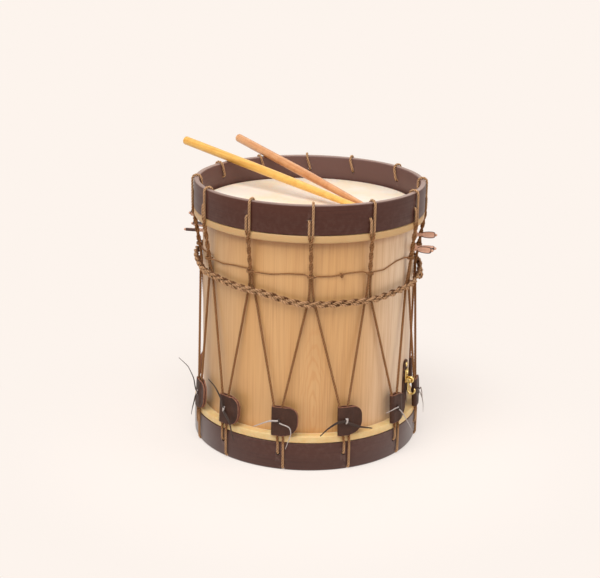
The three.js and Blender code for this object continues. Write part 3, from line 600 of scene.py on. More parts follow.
def stained_finish(n, colours, dust):
    """Dark stained wood, its grain round the hoop, with rubbed edges and a painted highlight along the upper
    hoop's top rim; dust pales it at glancing angles.
    """
    place, _, height, radius = n.unrolled()
    grain = n.group("Wood Grain", Vector=n.stretch(place, turn=(0, 0, pi / 2)), Rings=70.0)
    toned = n.mix(n.span(grain["Tone"], 0.25, 0.75), colours.stain, "47251b")
    dark = n.mix(n.span(grain["Fibres"], 0.5, 0.72, 0, 0.55), toned, colours.stain_dark)
    # Painted reflection: the hoops' inner side is painted paler and greyer.
    middle = HOOP_RADIUS - 4 * MM
    with_inside_reflection = n.mix(n.span(radius, middle, middle - 3.5 * MM, 0, 0.75), dark, colours.stain_inside_reflection)
    # Painted highlight: a pale line along the upper hoop's top rim; worn mixes it with real edge wear.
    rim = n.span(height, TOP - 1.7 * MM, TOP - 0.4 * MM)
    painted_highlight = n.times(rim, n.span(grain["Tone"], 0.25, 0.6, 0.55, 0.95))
    worn = n.most(n.times(n.group("Edge Wear", Vector=n.place)["Wear"], 0.25), painted_highlight)
    n.wood(grain, n.mix(worn, with_inside_reflection, "a2897e"), (0.36, 0.5), 0.1, 0.3,
           Specular_IOR_Level=0.27, Sheen_Weight=dust, Sheen_Roughness=0.48)


def skin_finish(n, colours):
    """Cream skin with faint clouds, veins and follicles, yellowed over the flesh hoop, with painted shade on
    the upper head's lap.
    """
    _, _, height, radius = n.unrolled()
    clouds = n.noise(n.place, 14, 4, 0.6)
    veins = n.noise(n.place, 55, 5, 0.7)
    base = n.mix(n.span(clouds, 0.35, 0.7), colours.skin, "f2dcbe")
    veined = n.mix(n.span(veins, 0.58, 0.75, 0, 0.25), base, "e6d2a8")
    aged = n.mix(n.span(veins, 0.3, 0.7), colours.skin_aged, "e4c890")
    # Painted shade: the upper head's lap is darker, as it lies in the hoop's shade.
    lapped = n.mix(n.span(height, 0.15, 0.25, 0, 0.8), aged, "bd9362")
    rim = n.span(radius, SHELL_RADIUS - 4 * MM, SHELL_RADIUS + 3 * MM)
    n.set(Base_Color=n.mix(rim, veined, lapped), Roughness=n.span(clouds, 0.3, 0.7, 0.42, 0.56),
          Normal=n.bump(veins, 0.18, 0.5), Subsurface_Weight=0.08, Subsurface_Scale=2 * MM)


def on_hoops(n, height, radius):
    """Masks of the tension rope and thin cord: painted lighter over the hoops, as where the rope is lit, and
    no painted shade.
    """
    margin = 5 * MM
    upper = n.span(height, TOP - HOOP_HEIGHT - margin, TOP - HOOP_HEIGHT + margin)
    return n.most(upper, n.span(height, HOOP_HEIGHT + margin, HOOP_HEIGHT - margin)), None


def on_plait(n, height, radius):
    """Masks of the girdle: painted highlight where its strands stand out, and painted shade deep between
    them.
    """
    pale = n.span(radius, BRAID_RADIUS + 5 * MM, BRAID_RADIUS + 8 * MM)
    return pale, n.span(radius, BRAID_RADIUS + 7.8 * MM, BRAID_RADIUS + 5 * MM, 0, 0.85)


def hemp_finish(n, colours, masks):
    """Hemp: strands laid together, with painted shade in its grooves, light fibres and blotches; painted
    lighter over the hoops and where the plait's strands stand out, with painted shade deep between them.
    """
    lay = n.group("Rope Lay", UV=n.uv, Strands=3.0)
    pale, shade_between_strands = masks(n, *n.unrolled()[2:])
    # Painted light: the rope is paler over the hoops, and on the plait's strands where they stand out.
    painted_highlight = n.mix(pale, colours.hemp, colours.hemp_pale)
    blotched = n.mix(n.span(n.noise(n.place, 48, 3, 0.6), 0.35, 0.7, 0, 0.5), painted_highlight, "bd8e64")
    fibred = n.mix(n.span(lay["Fibres"], 0.35, 0.65, 0.5, 1), colours.hemp_dark, blotched)
    light = n.mix(n.span(lay["Fibres"], 0.55, 0.7, 0, 0.45), fibred, colours.hemp_pale)
    # Painted shade in the grooves between the rope's strands.
    tone = n.mix(n.times(lay["Groove"], 0.75), light, colours.hemp_dark)
    # Painted shade deep between the plait's strands.
    if shade_between_strands:
        tone = n.mix(shade_between_strands, tone, colours.hemp_dark)
    n.set(Base_Color=tone, Normal=n.bump(lay["Height"], 0.5, 0.3), Roughness=0.9,
          Specular_IOR_Level=0.1, Sheen_Weight=0.1, Sheen_Roughness=0.4)


def leather_finish(n, colours):
    """Dark waxed leather with fine creases and a soft gloss."""
    grain = n.group("Leather Grain", Vector=n.place)
    toned = n.mix(n.span(grain["Tone"], 0.3, 0.7, 0, 0.5), colours.leather, "33211b")
    creased = n.mix(n.span(grain["Creases"], 0, 1, 0.5, 0), toned, "1f1310")
    worn = n.times(n.group("Edge Wear", Vector=n.place)["Wear"], 0.5)
    gloss = n.span(grain["Tone"], 0.3, 0.7, 0.42, 0.6)
    n.set(Base_Color=n.mix(worn, creased, colours.raw_leather), Roughness=gloss,
          Normal=n.bump(grain["Height"], 0.25, 0.25), Specular_IOR_Level=0.22)


def raw_leather_finish(n, colours):
    """Reddish fibrous edge where the leather was cut."""
    fibres = n.noise(n.place, 700, 4, 0.7)
    n.set(Base_Color=n.mix(n.span(fibres, 0.3, 0.7), colours.raw_leather, "5f3426"),
          Normal=n.bump(fibres, 0.4, 0.3), Roughness=0.8)


def lace_finish(n, colours, light, dark, gloss):
    """Flat thong with silky streaks along it."""
    streaks = n.noise(n.stretch(n.uv, (9, 0.6, 1)), 3, 4, 0.6)
    n.set(Base_Color=n.mix(n.span(streaks, 0.35, 0.65), getattr(colours, light), dark),
          Roughness=n.span(streaks, 0.3, 0.7, 0.28, 0.42), Normal=n.bump(streaks, 0.2, 0.2),
          Specular_IOR_Level=gloss)


def peg_finish(n, colours, light, dark):
    """Polished reddish wood with its grain along the peg."""
    turn = n.stretch(n.unrolled()[0], turn=(pi / 2, 0, 0))
    grain = n.group("Wood Grain", Vector=turn, Rings=90.0)
    tone = n.mix(n.span(grain["Fibres"], 0.4, 0.75, 0, 0.6), getattr(colours, light), dark)
    n.wood(grain, tone, (0.28, 0.45), 0.15, 0.2)


def gut_finish(n, colours):
    """Twisted gut, pale and a little glossy."""
    twist = n.noise(n.stretch(n.place, (1, 1, 0.4)), 900)
    n.set(Base_Color=n.mix(twist, colours.gut, "c9b57f"), Normal=n.bump(twist, 0.3, 0.2), Roughness=0.4)


def inner_wood_finish(n, colours):
    """Bare wood of the rings inside."""
    turn = n.stretch(n.unrolled()[0], turn=(0, 0, pi / 2))
    fibres = n.group("Wood Grain", Vector=turn, Rings=60.0)["Fibres"]
    n.set(Base_Color=n.mix(fibres, "c8a878", "a98857"), Normal=n.bump(fibres, 0.2, 0.3), Roughness=0.7)


def brass_finish(n, colours):
    """Polished brass with faint smudges and scratches."""
    smudges = n.noise(n.place, 220, 4, 0.65)
    scratches = n.noise(n.stretch(n.place, (1, 1, 0.1)), 1500)
    n.set(Base_Color=n.mix(n.span(smudges, 0.4, 0.75, 0, 0.6), colours.brass, "cfa850"),
          Roughness=n.span(smudges, 0.3, 0.7, 0.16, 0.34), Normal=n.bump(scratches, 0.06, 0.1), Metallic=1.0)


def stick_finish(n, light, dark, direction):
    """Varnished turned wood with its grain along the stick."""
    upright = direction.rotation_difference(Vector((0, 1, 0))).to_euler()
    grain = n.group("Wood Grain", Vector=n.stretch(n.place, turn=upright), Rings=150.0)
    patchy = n.mix(n.span(n.noise(n.place, 75, 3, 0.6), 0.45, 0.7, 0, 0.4), light, dark)
    toned = n.mix(n.span(grain["Tone"], 0.3, 0.7, 0, 0.35), patchy, dark)
    lined = n.mix(n.times(grain["Lines"], 0.6), toned, dark)
    n.wood(grain, n.mix(n.span(grain["Fibres"], 0.45, 0.68, 0, 0.6), lined, dark), (0.26, 0.4), 0.08, 0.2)


FINISHES = {
    "pine": (pine_finish,),
    "stained": (stained_finish, 0.0),
    "dusty": (stained_finish, 0.42),
    "skin": (skin_finish,),
    "hemp": (hemp_finish, on_hoops),
    "plait": (hemp_finish, on_plait),
    "leather": (leather_finish,),
    "raw_leather": (raw_leather_finish,),
    "lace": (lace_finish, "lace", "33261f", 0.2),
    "sheen_lace": (lace_finish, "lace_pale", "a0948e", 0.5),
    "peg": (peg_finish, "peg", "b98166"),
    "peg_edge": (peg_finish, "peg_dark", "2e1a14"),
    "gut": (gut_finish,),
    "inner_wood": (inner_wood_finish,),
    "brass": (brass_finish,),
}


def shade(name):
    """Each finish is made once and then shared."""
    if "drum_" + name not in bpy.data.materials:
        make, *settings = FINISHES[name]
        make(Finish(name), bpy.context.scene.drum_colours, *settings)
    return bpy.data.materials["drum_" + name]


# Lines of the rope, as on the frame

ROPE_HALF = 2 * MM
TOP_HOLE_DEPTH, TOP_HOLE_RADIUS = 21 * MM, 2.4 * MM
BOTTOM_HOLE_DEPTH, BOTTOM_HOLE_RADIUS = 24.5 * MM, 3.1 * MM
HOLE_BEND = 3.6 * MM
STRAND_RADIUS = HOOP_RADIUS + GAP + ROPE_HALF
INSIDE_RADIUS = 154.1 * MM
BRAID_RADIUS = SHELL_RADIUS + 3 * MM
BRAID_HEIGHT = TOP - 136.5 * MM
BRAID_RISES = (-0.8, -0.4, 4, 12.5, 18.5, 21.5, 23.5, 25, 26, 25, 17, 12)  # millimetres, at the rope pairs
PAIR_SHIFTS = (0, -1, 0, 0, 4, 5, 0, -3, -4.5, 0, 1.6, 0.7)  # degrees from even spacing
BAY_SHIFTS = (3, 4, 0, 2, 4.5, 2.5, -1.5, -3.7, -10, 6, 1, 1)  # degrees from even spacing
HOOP_LEANS = (0, 0.5, 0.9, 0, 0, 0, 0, 0, 0, 0, -2.6, -0.8)  # degrees at the top hoop
PAIR_LEANS = (0.9, 2, 3, 0, 0, 0, 0, 0, 0, 0, -2.9, -0.9)  # degrees at the girdle
FOOT_ARCS = (8.4, 8.4, 8.4, 8.4, 8.4, 8.4, 8.4, 8.4, 8.4, 4.2, 4.2, 8.4)  # millimetres from the bay's middle
CORD_RISES = (0, 0, 4, 4, 0, 0, 0, 0, 0, 0, 0, 0)  # millimetres, at the rope pairs
CORD_HEIGHT = TOP - 99 * MM
PAIR_ANGLE = along(2.3 * MM, BRAID_RADIUS)
LEG_ANGLE = along(4.5 * MM, BRAID_RADIUS)
TWIST_ANGLE = along(1.6 * MM, BRAID_RADIUS)
FOOT_DEPTH = 2.6 * MM
FOOT_SPREAD = 7.5 * MM
LEG_SLOPE = (STRAND_RADIUS - BRAID_RADIUS) / (BRAID_HEIGHT - HOOP_HEIGHT)
TUG_MIDDLE = 74 * MM
TUG_HALF = 22 * MM
TUG_SPREAD = 12.4 * MM
TUG_REACHES = (26.3, 22, 25, 26.3, 26.3, 25, 27, 26.3, 26.3, 27, 29.3, 28.8)  # millimetres to the free edge
TUG_POCKET = 2.05 * MM
SEAM_HEIGHT = TUG_MIDDLE + TUG_HALF - 6 * MM


def braid_level(azimuth):
    """Height of the plaited girdle, which changes smoothly from one rope pair to the next."""
    pair = floor(azimuth / BAY)
    low, high = BRAID_RISES[pair % BAYS], BRAID_RISES[(pair + 1) % BAYS]
    return BRAID_HEIGHT + (low + (high - low) * ease(azimuth / BAY - pair)) * MM


def leg_radius(height):
    return STRAND_RADIUS - LEG_SLOPE * (height - HOOP_HEIGHT)


def bay_middle(bay):
    return BAY * (bay + 0.5) + BAY_SHIFTS[bay % BAYS]


def pair_middle(pair):
    return BAY * pair + PAIR_SHIFTS[pair % BAYS]


def foot_azimuth(bay):
    return bay_middle(bay) + along(FOOT_ARCS[bay % BAYS] * MM, STRAND_RADIUS)


def hole_azimuth(bay):
    return foot_azimuth(bay) - along(FOOT_SPREAD, STRAND_RADIUS)


def from_top(depth):
    return TOP - depth


def from_bottom(depth):
    return depth


def hoop_turn(z_of, hole_depth, edge_azimuth, hole, edge_depth, bend, outer, inner):
    """Rope over a hoop's free edge, along its inside and out through its hole."""
    turn = [(cos(radians(15 * i)), sin(radians(15 * i))) for i in range(7)]
    path = [(edge_azimuth, outer + bend * c, edge_depth + bend * (1 - s)) for c, s in turn]
    path += [(edge_azimuth, inner - bend * s, edge_depth + bend * (1 - c)) for c, s in turn]
    path += [(hole, INSIDE_RADIUS + HOLE_BEND * (1 - c), hole_depth - HOLE_BEND * (1 - s)) for c, s in turn]
    path += [(hole, STRAND_RADIUS - HOLE_BEND * (1 - s), hole_depth + HOLE_BEND * (1 - c)) for c, s in turn]
    return [polar(radius, azimuth, z_of(depth)) for azimuth, radius, depth in path]


def pair_radius(pair, height):
    """Distance of a rope pair's middle from the drum's axis, between the braid and the top hoop."""
    level = braid_level(pair_middle(pair))
    share = (height - level) / (TOP - HOOP_HEIGHT - level)
    return BRAID_RADIUS + share * (STRAND_RADIUS - BRAID_RADIUS)


def pair_azimuth(pair, height):
    """Azimuth of a rope pair's middle, which leans from the hoop down to the girdle."""
    level = braid_level(pair_middle(pair))
    share = clamp((TOP - HOOP_HEIGHT - height) / (TOP - HOOP_HEIGHT - level))
    high, low = HOOP_LEANS[pair % BAYS], PAIR_LEANS[pair % BAYS]
    return pair_middle(pair) + high + (low - high) * share


def pair_place(pair, side, height, twist):
    """A point of one rope of a pair: two tight twists from the hoop to the thin cord, then the two part."""
    level, high = braid_level(pair_middle(pair)), TOP - HOOP_HEIGHT - 3 * MM
    turn = 4 * pi * clamp((high - height) / (high - CORD_HEIGHT))
    near_hoop = clamp(1 - (high - height) / (14 * MM))
    under_cord = clamp((CORD_HEIGHT - height) / (CORD_HEIGHT - level)) ** 3
    apart = TWIST_ANGLE + (PAIR_ANGLE - TWIST_ANGLE) * near_hoop + (LEG_ANGLE - TWIST_ANGLE) * under_cord
    azimuth = pair_azimuth(pair, height) + side * apart * cos(turn)
    return polar(pair_radius(pair, height) + side * twist * sin(turn), azimuth, height)


def rope_line(points, sizes):
    """Points fine enough for the rope's lay."""
    return soften(points, sizes.rope_lay / 8, 3)


def top_route(pair, sizes):
    """Up one rope of a pair, over the top hoop, in through its hole and down the other rope."""
    middle = pair_azimuth(pair, TOP)
    low, high = braid_level(pair_middle(pair)) - 2 * MM, TOP - HOOP_HEIGHT
    heights = [low + (high - low) * i / 60 for i in range(61)]
    up = [pair_place(pair, 1, h, sizes.pair_twist) for h in heights]
    down = [pair_place(pair, -1, h, sizes.pair_twist) for h in reversed(heights)]
    over = hoop_turn(
        from_top, TOP_HOLE_DEPTH, middle + PAIR_ANGLE, middle - PAIR_ANGLE, -GAP - ROPE_HALF,
        sizes.edge_round + GAP + ROPE_HALF, HOOP_RADIUS - sizes.edge_round,
        HOOP_RADIUS - sizes.hoop_wall + sizes.edge_round,
    )
    return rope_line(up + over + down, sizes)


def leg_line(bay, side):
    """Braid, tug and hoop ends of one leg of a bay's V: -1 is its left leg and 1 its right."""
    pair = bay + (side + 1) // 2
    high = TUG_MIDDLE + TUG_HALF
    tug_turn = along(TUG_SPREAD / 2, leg_radius(high))
    foot = hole_azimuth(bay) if side < 0 else foot_azimuth(bay)
    return (
        polar(BRAID_RADIUS, pair_azimuth(pair, 0) - side * LEG_ANGLE, braid_level(pair_middle(pair))),
        polar(leg_radius(high), bay_middle(bay) + side * tug_turn, high),
        polar(STRAND_RADIUS, foot, HOOP_HEIGHT),
    )


def seam_point(tug, hoop):
    """Where a leg passes the seam inside its tug."""
    return tug.lerp(hoop, (SEAM_HEIGHT - tug.z) / (hoop.z - tug.z))


def foot_route(bay, sizes):
    """From inside the tug down one leg, under the bottom hoop, out through its hole and up to the tug."""
    (_, left_tug, left_hoop), (_, right_tug, right_hoop) = leg_line(bay, -1), leg_line(bay, 1)
    under = hoop_turn(
        from_bottom, BOTTOM_HOLE_DEPTH, foot_azimuth(bay), hole_azimuth(bay), FOOT_DEPTH, HOLE_BEND,
        STRAND_RADIUS - HOLE_BEND, INSIDE_RADIUS + HOLE_BEND,
    )
    ends = seam_point(right_tug, right_hoop), seam_point(left_tug, left_hoop)
    return rope_line([ends[0], right_hoop, *under, left_hoop, ends[1]], sizes)


def leg_route(bay, side, sizes):
    """From under the braid down to the seam inside the tug."""
    braid, tug, hoop = leg_line(bay, side)
    return rope_line([braid, tug, seam_point(tug, hoop)], sizes)


# Operators, one for each group of pieces

class DRUM_OT_stage(bpy.types.Operator):
    """Set up the camera, the pale floor and soft light"""

    bl_idname = "drum.stage"
    bl_label = "Stage"

    def execute(self, context):
        scene = context.scene
        self.camera(scene)
        self.floor(scene.drum_colours.backdrop)
        self.lamps()
        self.world(scene)
        return {"FINISHED"}

    def camera(self, scene):
        """The camera stands in front, above the drum, a little to its left, tipped by a hair."""
        distance, height, azimuth = 1.7916, 0.7792, -1.0
        yaw, pitch, roll, focal, width = -0.00616, 0.30586, 0.02005, 1283.6, 600
        select()
        bpy.ops.object.camera_add()
        camera = bpy.context.object
        place = turned(radians(azimuth), "Z") @ Matrix.Translation((0, -distance, height))
        camera.matrix_world = place @ turned(-yaw, "Z") @ turned(pi / 2 - pitch, "X") @ turned(roll, "Z")
        camera.data.sensor_fit = "HORIZONTAL"
        camera.data.sensor_width = 36
        camera.data.lens = 36 * focal / width
        scene.camera = camera
        scene.view_settings.view_transform = "Standard"

    def floor(self, backdrop):
        select()
        bpy.ops.mesh.primitive_plane_add(size=24)
        floor = bpy.context.object
        floor.name = "floor"
        n = Finish("floor")
        n.set(Base_Color=backdrop, Roughness=0.9, Specular_IOR_Level=0.1)
        glow = n.put("Emission", {"Color": backdrop})[0]
        n.show("Material Output", n.surface.outputs[0], glow, n.span(n.reach(n.place), 0.2, 0.5, 0.6, 1.0))
        floor.data.materials.append(n.material)

    def lamps(self):
        for name, place, size, power in (
            ("top_light", (0.25, 0.75, 1.7), 1.3, 6),
            ("key_light", (-0.45, -1.1, 2.1), 1.8, 51),
            ("right_light", (1.8, -0.6, 1.0), 1.2, 9),
        ):
            select()
            bpy.ops.object.light_add(type="AREA", location=place)
            lamp = bpy.context.object
            lamp.name = name
            lamp.data.size = size
            lamp.data.energy = power
            aim = Vector((0, 0, 0.25)) - Vector(place)
            lamp.rotation_euler = aim.to_track_quat("-Z", "Y").to_euler()

    def world(self, scene):
        scene.world = bpy.data.worlds.new("studio")
        scene.world.use_nodes = True
        n = Nodes(scene.world.node_tree)
        soft = n.tree.nodes["Background"]
        soft.inputs["Color"].default_value = (1, 0.985, 0.965, 1)
        soft.inputs["Strength"].default_value = 0.24
        plain = n.put("Background", {"Color": scene.drum_colours.backdrop})[0]
        n.show("World Output", soft.outputs[0], plain)


# Tails of a lace, in millimetres: right of its hole, out from the leather, above the tug's middle
LACE_STYLES = [
    {"upper": [(-15.8, 1, 0.5), (-30.5, 3, -6.5), (-41.4, 5, -14.5)],
     "lower": [(16.5, 2, -8.4), (26, 3, -10.2), (35.3, 4, -12)]},
    {"upper": [(-9, 1, 3), (-18.5, 2, 3), (-36.2, 4, 4)],
     "lower": [(5.4, 2, -9), (13.5, 3, -22), (25.8, 5, -42.5)]},
    {"upper": [(-6, 3, 8), (-9, 5, 0), (-7, 5, -13)],
     "lower": [(5, 3, -13), (7, 4, -25), (4, 4, -36)]},
    {"upper": [(1.7, 5, 23.4), (-8.5, 11, 38), (-20.5, 22, 47.5)],
     "lower": [(3.2, 3, -12.5), (-0.5, 4, -24), (-3.5, 4, -35)]},
    {"upper": [(-2.7, 2, 16.6), (-14, 4, 31), (-26.6, 5, 38.5)],
     "lower": [(16.4, 2, -13), (22.4, 3, -26), (28.9, 4, -36.7)]},
    {"upper": [(-12.3, 1, 1), (-23.5, 2, -4), (-34.9, 3, -9.2)],
     "lower": [(16.6, 2, -5), (19, 3, -14), (11.6, 4, -36.6)]},
    {"upper": [(12, 1, 5), (24, 2, 3), (36, 3, -2)],
     "lower": [(7, 1, -11), (14, 2, -21), (21, 3, -32)]},
    {"upper": [(-12, 1, 4), (-24, 2, 1), (-36, 3, -5)],
     "lower": [(-6, 1, -11), (-11, 2, -21), (-15, 3, -33)]},
]
LACE_ORDER = (0, 1, 2, 6, 0, 1, 4, 5, 7, 3, 4, 5)  # the style of each bay's lace
# Styles whose tails take the painted sheen.
PALE_STYLES = (1, 2, 5)
DARK_WIDTH = 1.45  # of a dark lace, as a share of a pale one's width
SLIM_TAILS = {(1, "upper"): 0.7, (1, "lower"): 0.6, (5, "lower"): 0.65}  # shares of a lace's width
LACE_HOLE_RISE = 3.6 * MM
LACE_HOLE_SHIFT = 3 * MM
TAIL_RISES = {"upper": 1.4 * MM, "lower": -1.4 * MM}


def tug_frame(bay):
    """Where a tug sits: X along the hoop, -Y out and Z up along the ropes."""
    turn = turned(radians(bay_middle(bay)), "Z") @ turned(-atan(LEG_SLOPE), "X")
    return Matrix.Translation(polar(leg_radius(TUG_MIDDLE), bay_middle(bay), TUG_MIDDLE)) @ turn


class DRUM_OT_laces(bpy.types.Operator):
    """Thread a lace through each tug and leave its two tails free"""

    bl_idname = "drum.laces"
    bl_label = "Laces"

    def execute(self, context):
        sizes = context.scene.drum_sizes
        face = TUG_POCKET + sizes.leather
        for bay, number in enumerate(LACE_ORDER):
            place = tug_frame(bay)
            out = place.to_3x3() @ Vector((0, -1, 0))
            # Painted sheen: some laces' tails, and the other laces' crossings as glints, take the pale lit
            # copy of the lace.
            tails, crossing = ("sheen_lace", "lace") if number in PALE_STYLES else ("lace", "sheen_lace")
            width = sizes.lace_width * (1 if number in PALE_STYLES else DARK_WIDTH)
            pieces = [self.knot(bay, place, face, flat_section(width, sizes.lace_thickness), out)]
            for side in ("upper", "lower"):
                slim = SLIM_TAILS.get((number, side), 1)
                route = self.tail(place, face, side, LACE_STYLES[number][side])
                section = flat_section(width * slim, sizes.lace_thickness)
                name = f"lace_tail_{bay + 1}_{side}"
                tail = sweep(name, [route], section, facing=out, taper=self.thinned)
                run = distances(route)[-1]
                pieces.append(tail)
            for piece, look in zip(pieces, (crossing, tails, tails)):
                dress(piece, look, f"tug_{bay + 1}", [f"lace_{bay + 1}"])
        return {"FINISHED"}

    def thinned(self, share):
        return 1 - 0.62 * max(0, share - 0.25) / 0.75

    def tail(self, place, face, side, style):
        """From inside the tug straight out in front of it, and then along the style's points."""
        front, rise = -face - 2.6 * MM, TAIL_RISES[side]
        points = [Vector((0, -TUG_POCKET, rise)), Vector((0, front, rise))]
        points += [Vector((x * MM, front - y * MM, z * MM)) for x, y, z in style]
        shift = Vector((LACE_HOLE_SHIFT, 0, 0))
        return soften([place @ (p + shift) for p in points], 1.2 * MM, 12)

    def knot(self, bay, place, face, section, out):
        """The lace's crossing between its two holes, in front, and its bridge behind."""
        rise, proud = LACE_HOLE_RISE, face + 1.6 * MM
        corners = [(-proud, rise), (-proud, -rise), (proud, -rise), (proud, rise), (-proud, rise)]
        route = soften([place @ Vector((LACE_HOLE_SHIFT, y, z)) for y, z in corners], 0.8 * MM, 4)
        return sweep(f"lace_knot_{bay + 1}", [route], section, facing=out)


def peg_place(number):
    """Azimuth and height of a peg, from its joint."""
    joint = JOINTS[f"peg_{number}_turn"]
    return degrees(atan2(joint["axis"][0], -joint["axis"][1])), joint["pos_m"][2]


PEG_TURNS = (72, 10, 72, 40, 60, 12)  # degrees that each peg's paddle stands turned
PEG_HOLE_RADIUS = 3.95 * MM


class DRUM_OT_shell(bpy.types.Operator):
    """Turn the bent-wood shell and drill its peg holes"""

    bl_idname = "drum.shell"
    bl_label = "Shell"

    def execute(self, context):
        sizes = context.scene.drum_sizes
        inner, low, high, bevel = SHELL_RADIUS - sizes.shell_wall, SHELL_LOW.z, SHELL_HIGH.z, 2.2 * MM
        profile = [
            (inner, low), (SHELL_RADIUS - bevel, low), (SHELL_RADIUS, low + bevel),
            (SHELL_RADIUS, high - bevel), (SHELL_RADIUS - bevel, high), (inner, high), (inner, low),
        ]
        shell = lathe("pine_shell", profile, sizes.round_steps)
        places = [peg_place(n) for n in range(1, len(PEG_TURNS) + 1)]
        cut(shell, [drill(PEG_HOLE_RADIUS, *place, inner, SHELL_RADIUS) for place in places])
        dress(shell, "pine", "drum", ["shell"], angle=35)
        return {"FINISHED"}


class DRUM_OT_hoops(bpy.types.Operator):
    """Turn the two counter hoops, drill their rope holes and notch the one that stands"""

    bl_idname = "drum.hoops"
    bl_label = "Counter hoops"

    def execute(self, context):
        sizes = context.scene.drum_sizes
        inner = HOOP_RADIUS - sizes.hoop_wall
        edge, chamfer = sizes.edge_round, 1 * MM
        outline = arc((HOOP_RADIUS - edge, edge), edge, 0, -90, 6)
        outline += arc((inner + edge, edge), edge, -90, -180, 6)
        outline += arc((inner + chamfer, HOOP_HEIGHT - chamfer), chamfer, 180, 90, 3)
        outline += arc((HOOP_RADIUS - chamfer, HOOP_HEIGHT - chamfer), chamfer, 90, 0, 3)
        outline.append(outline[0])
        upper = lathe("upper_hoop", [(r, TOP - depth) for r, depth in outline], sizes.round_steps)
        cut(upper, [
            drill(TOP_HOLE_RADIUS, pair_azimuth(pair, TOP) - PAIR_ANGLE, TOP - TOP_HOLE_DEPTH, inner,
                  HOOP_RADIUS)
            for pair in range(BAYS)
        ])
        lower = lathe("lower_hoop", outline, sizes.round_steps)
        cutters = []
        for bay in range(BAYS):
            hole = hole_azimuth(bay)
            cutters.append(drill(BOTTOM_HOLE_RADIUS, hole, BOTTOM_HOLE_DEPTH, inner, HOOP_RADIUS))
            cutters.append(self.notch(foot_azimuth(bay), inner))
        cut(lower, cutters)
        for hoop, look, node in ((upper, "stained", "top_hoop"), (lower, "dusty", "bottom_hoop")):
            dress(hoop, look, "drum", [node], angle=35)
        return {"FINISHED"}

    def notch(self, azimuth, inner):
        """A groove with a round bottom for the rope, under the hoop that stands."""
        width, depth = 4.2 * MM, 6 * MM
        bpy.ops.mesh.primitive_cube_add(
            size=1, scale=(width, HOOP_RADIUS - inner + 10 * MM, 2 * depth),
            location=polar((inner + HOOP_RADIUS) / 2, azimuth, 0), rotation=(0, 0, radians(azimuth)),
        )
        block = bpy.context.object
        settle(block)
        modify(block, "BEVEL", width=1.9 * MM, segments=4, limit_method="ANGLE")
        return block


class DRUM_OT_heads(bpy.types.Operator):
    """Stretch the two skins over the shell and lap them round their flesh hoops"""

    bl_idname = "drum.heads"
    bl_label = "Heads"

    def execute(self, context):
        sizes = context.scene.drum_sizes
        skin, lap, bend = sizes.skin, sizes.lap_round, 3 * MM
        collar = SHELL_RADIUS + GAP + skin
        outside = HOOP_RADIUS - 0.2 * MM
        flesh_out = LAP_RADIUS - skin
        slit = collar + 0.6 * MM
        profile = [(collar * share, HEAD_DEPTH) for share in (0, 0.25, 0.5, 0.75, 0.92)]
        profile += arc((collar - bend, HEAD_DEPTH + bend), bend, -90, 0, 5)
        profile += [(collar, LAP_END - skin), (flesh_out, LAP_END - skin)]
        profile += [(flesh_out, LAP_DEPTH + skin), (slit, LAP_DEPTH + skin), (slit, LAP_DEPTH)]
        profile += arc((outside - lap, LAP_DEPTH + lap), lap, -90, 0, 6)
        profile += arc((outside - lap, LAP_END - lap), lap, 0, 90, 6)
        profile += [(collar - skin, LAP_END)]
        profile += arc((collar - bend, HEAD_DEPTH + bend), bend - skin, 0, -90, 4)
        profile += [(0, HEAD_DEPTH + skin)]
        heads = (("upper_skin", "top_head", from_top), ("lower_skin", "bottom_head", from_bottom))
        for name, node, z_of in heads:
            head = lathe(name, [(r, z_of(depth)) for r, depth in profile], sizes.round_steps)
            dress(head, "skin", "drum", [node], angle=50)
        return {"FINISHED"}


class DRUM_OT_rope(bpy.types.Operator):
    """Lace the tension rope over both hoops, in a piece for each tug"""

    bl_idname = "drum.rope"
    bl_label = "Tension rope"

    def execute(self, context):
        sizes = context.scene.drum_sizes
        section = laid_section(sizes.rope / 2)
        loops = [top_route(pair, sizes) for pair in range(BAYS)]
        top = sweep("rope_top", loops, section, lay=sizes.rope_lay)
        dress(top, "hemp", "drum", ["tension_rope"])
        for bay in range(BAYS):
            seam = polar(leg_radius(SEAM_HEIGHT), bay_middle(bay), SEAM_HEIGHT)
            foot = sweep(f"rope_foot_{bay + 1}", [foot_route(bay, sizes)], section, lay=sizes.rope_lay)
            dress(foot, "hemp", stands_for=["tension_rope"])
            polar(STRAND_RADIUS, bay_middle(bay), HOOP_HEIGHT)
            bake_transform(foot)
            lines = [leg_route(bay, side, sizes) for side in (-1, 1)]
            legs = sweep(f"rope_legs_{bay + 1}", lines, section, lay=sizes.rope_lay)
            dress(legs, "hemp", stands_for=["tension_rope"])
            polar(BRAID_RADIUS, bay_middle(bay), BRAID_HEIGHT - 8 * MM)
            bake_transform(legs)
        return {"FINISHED"}


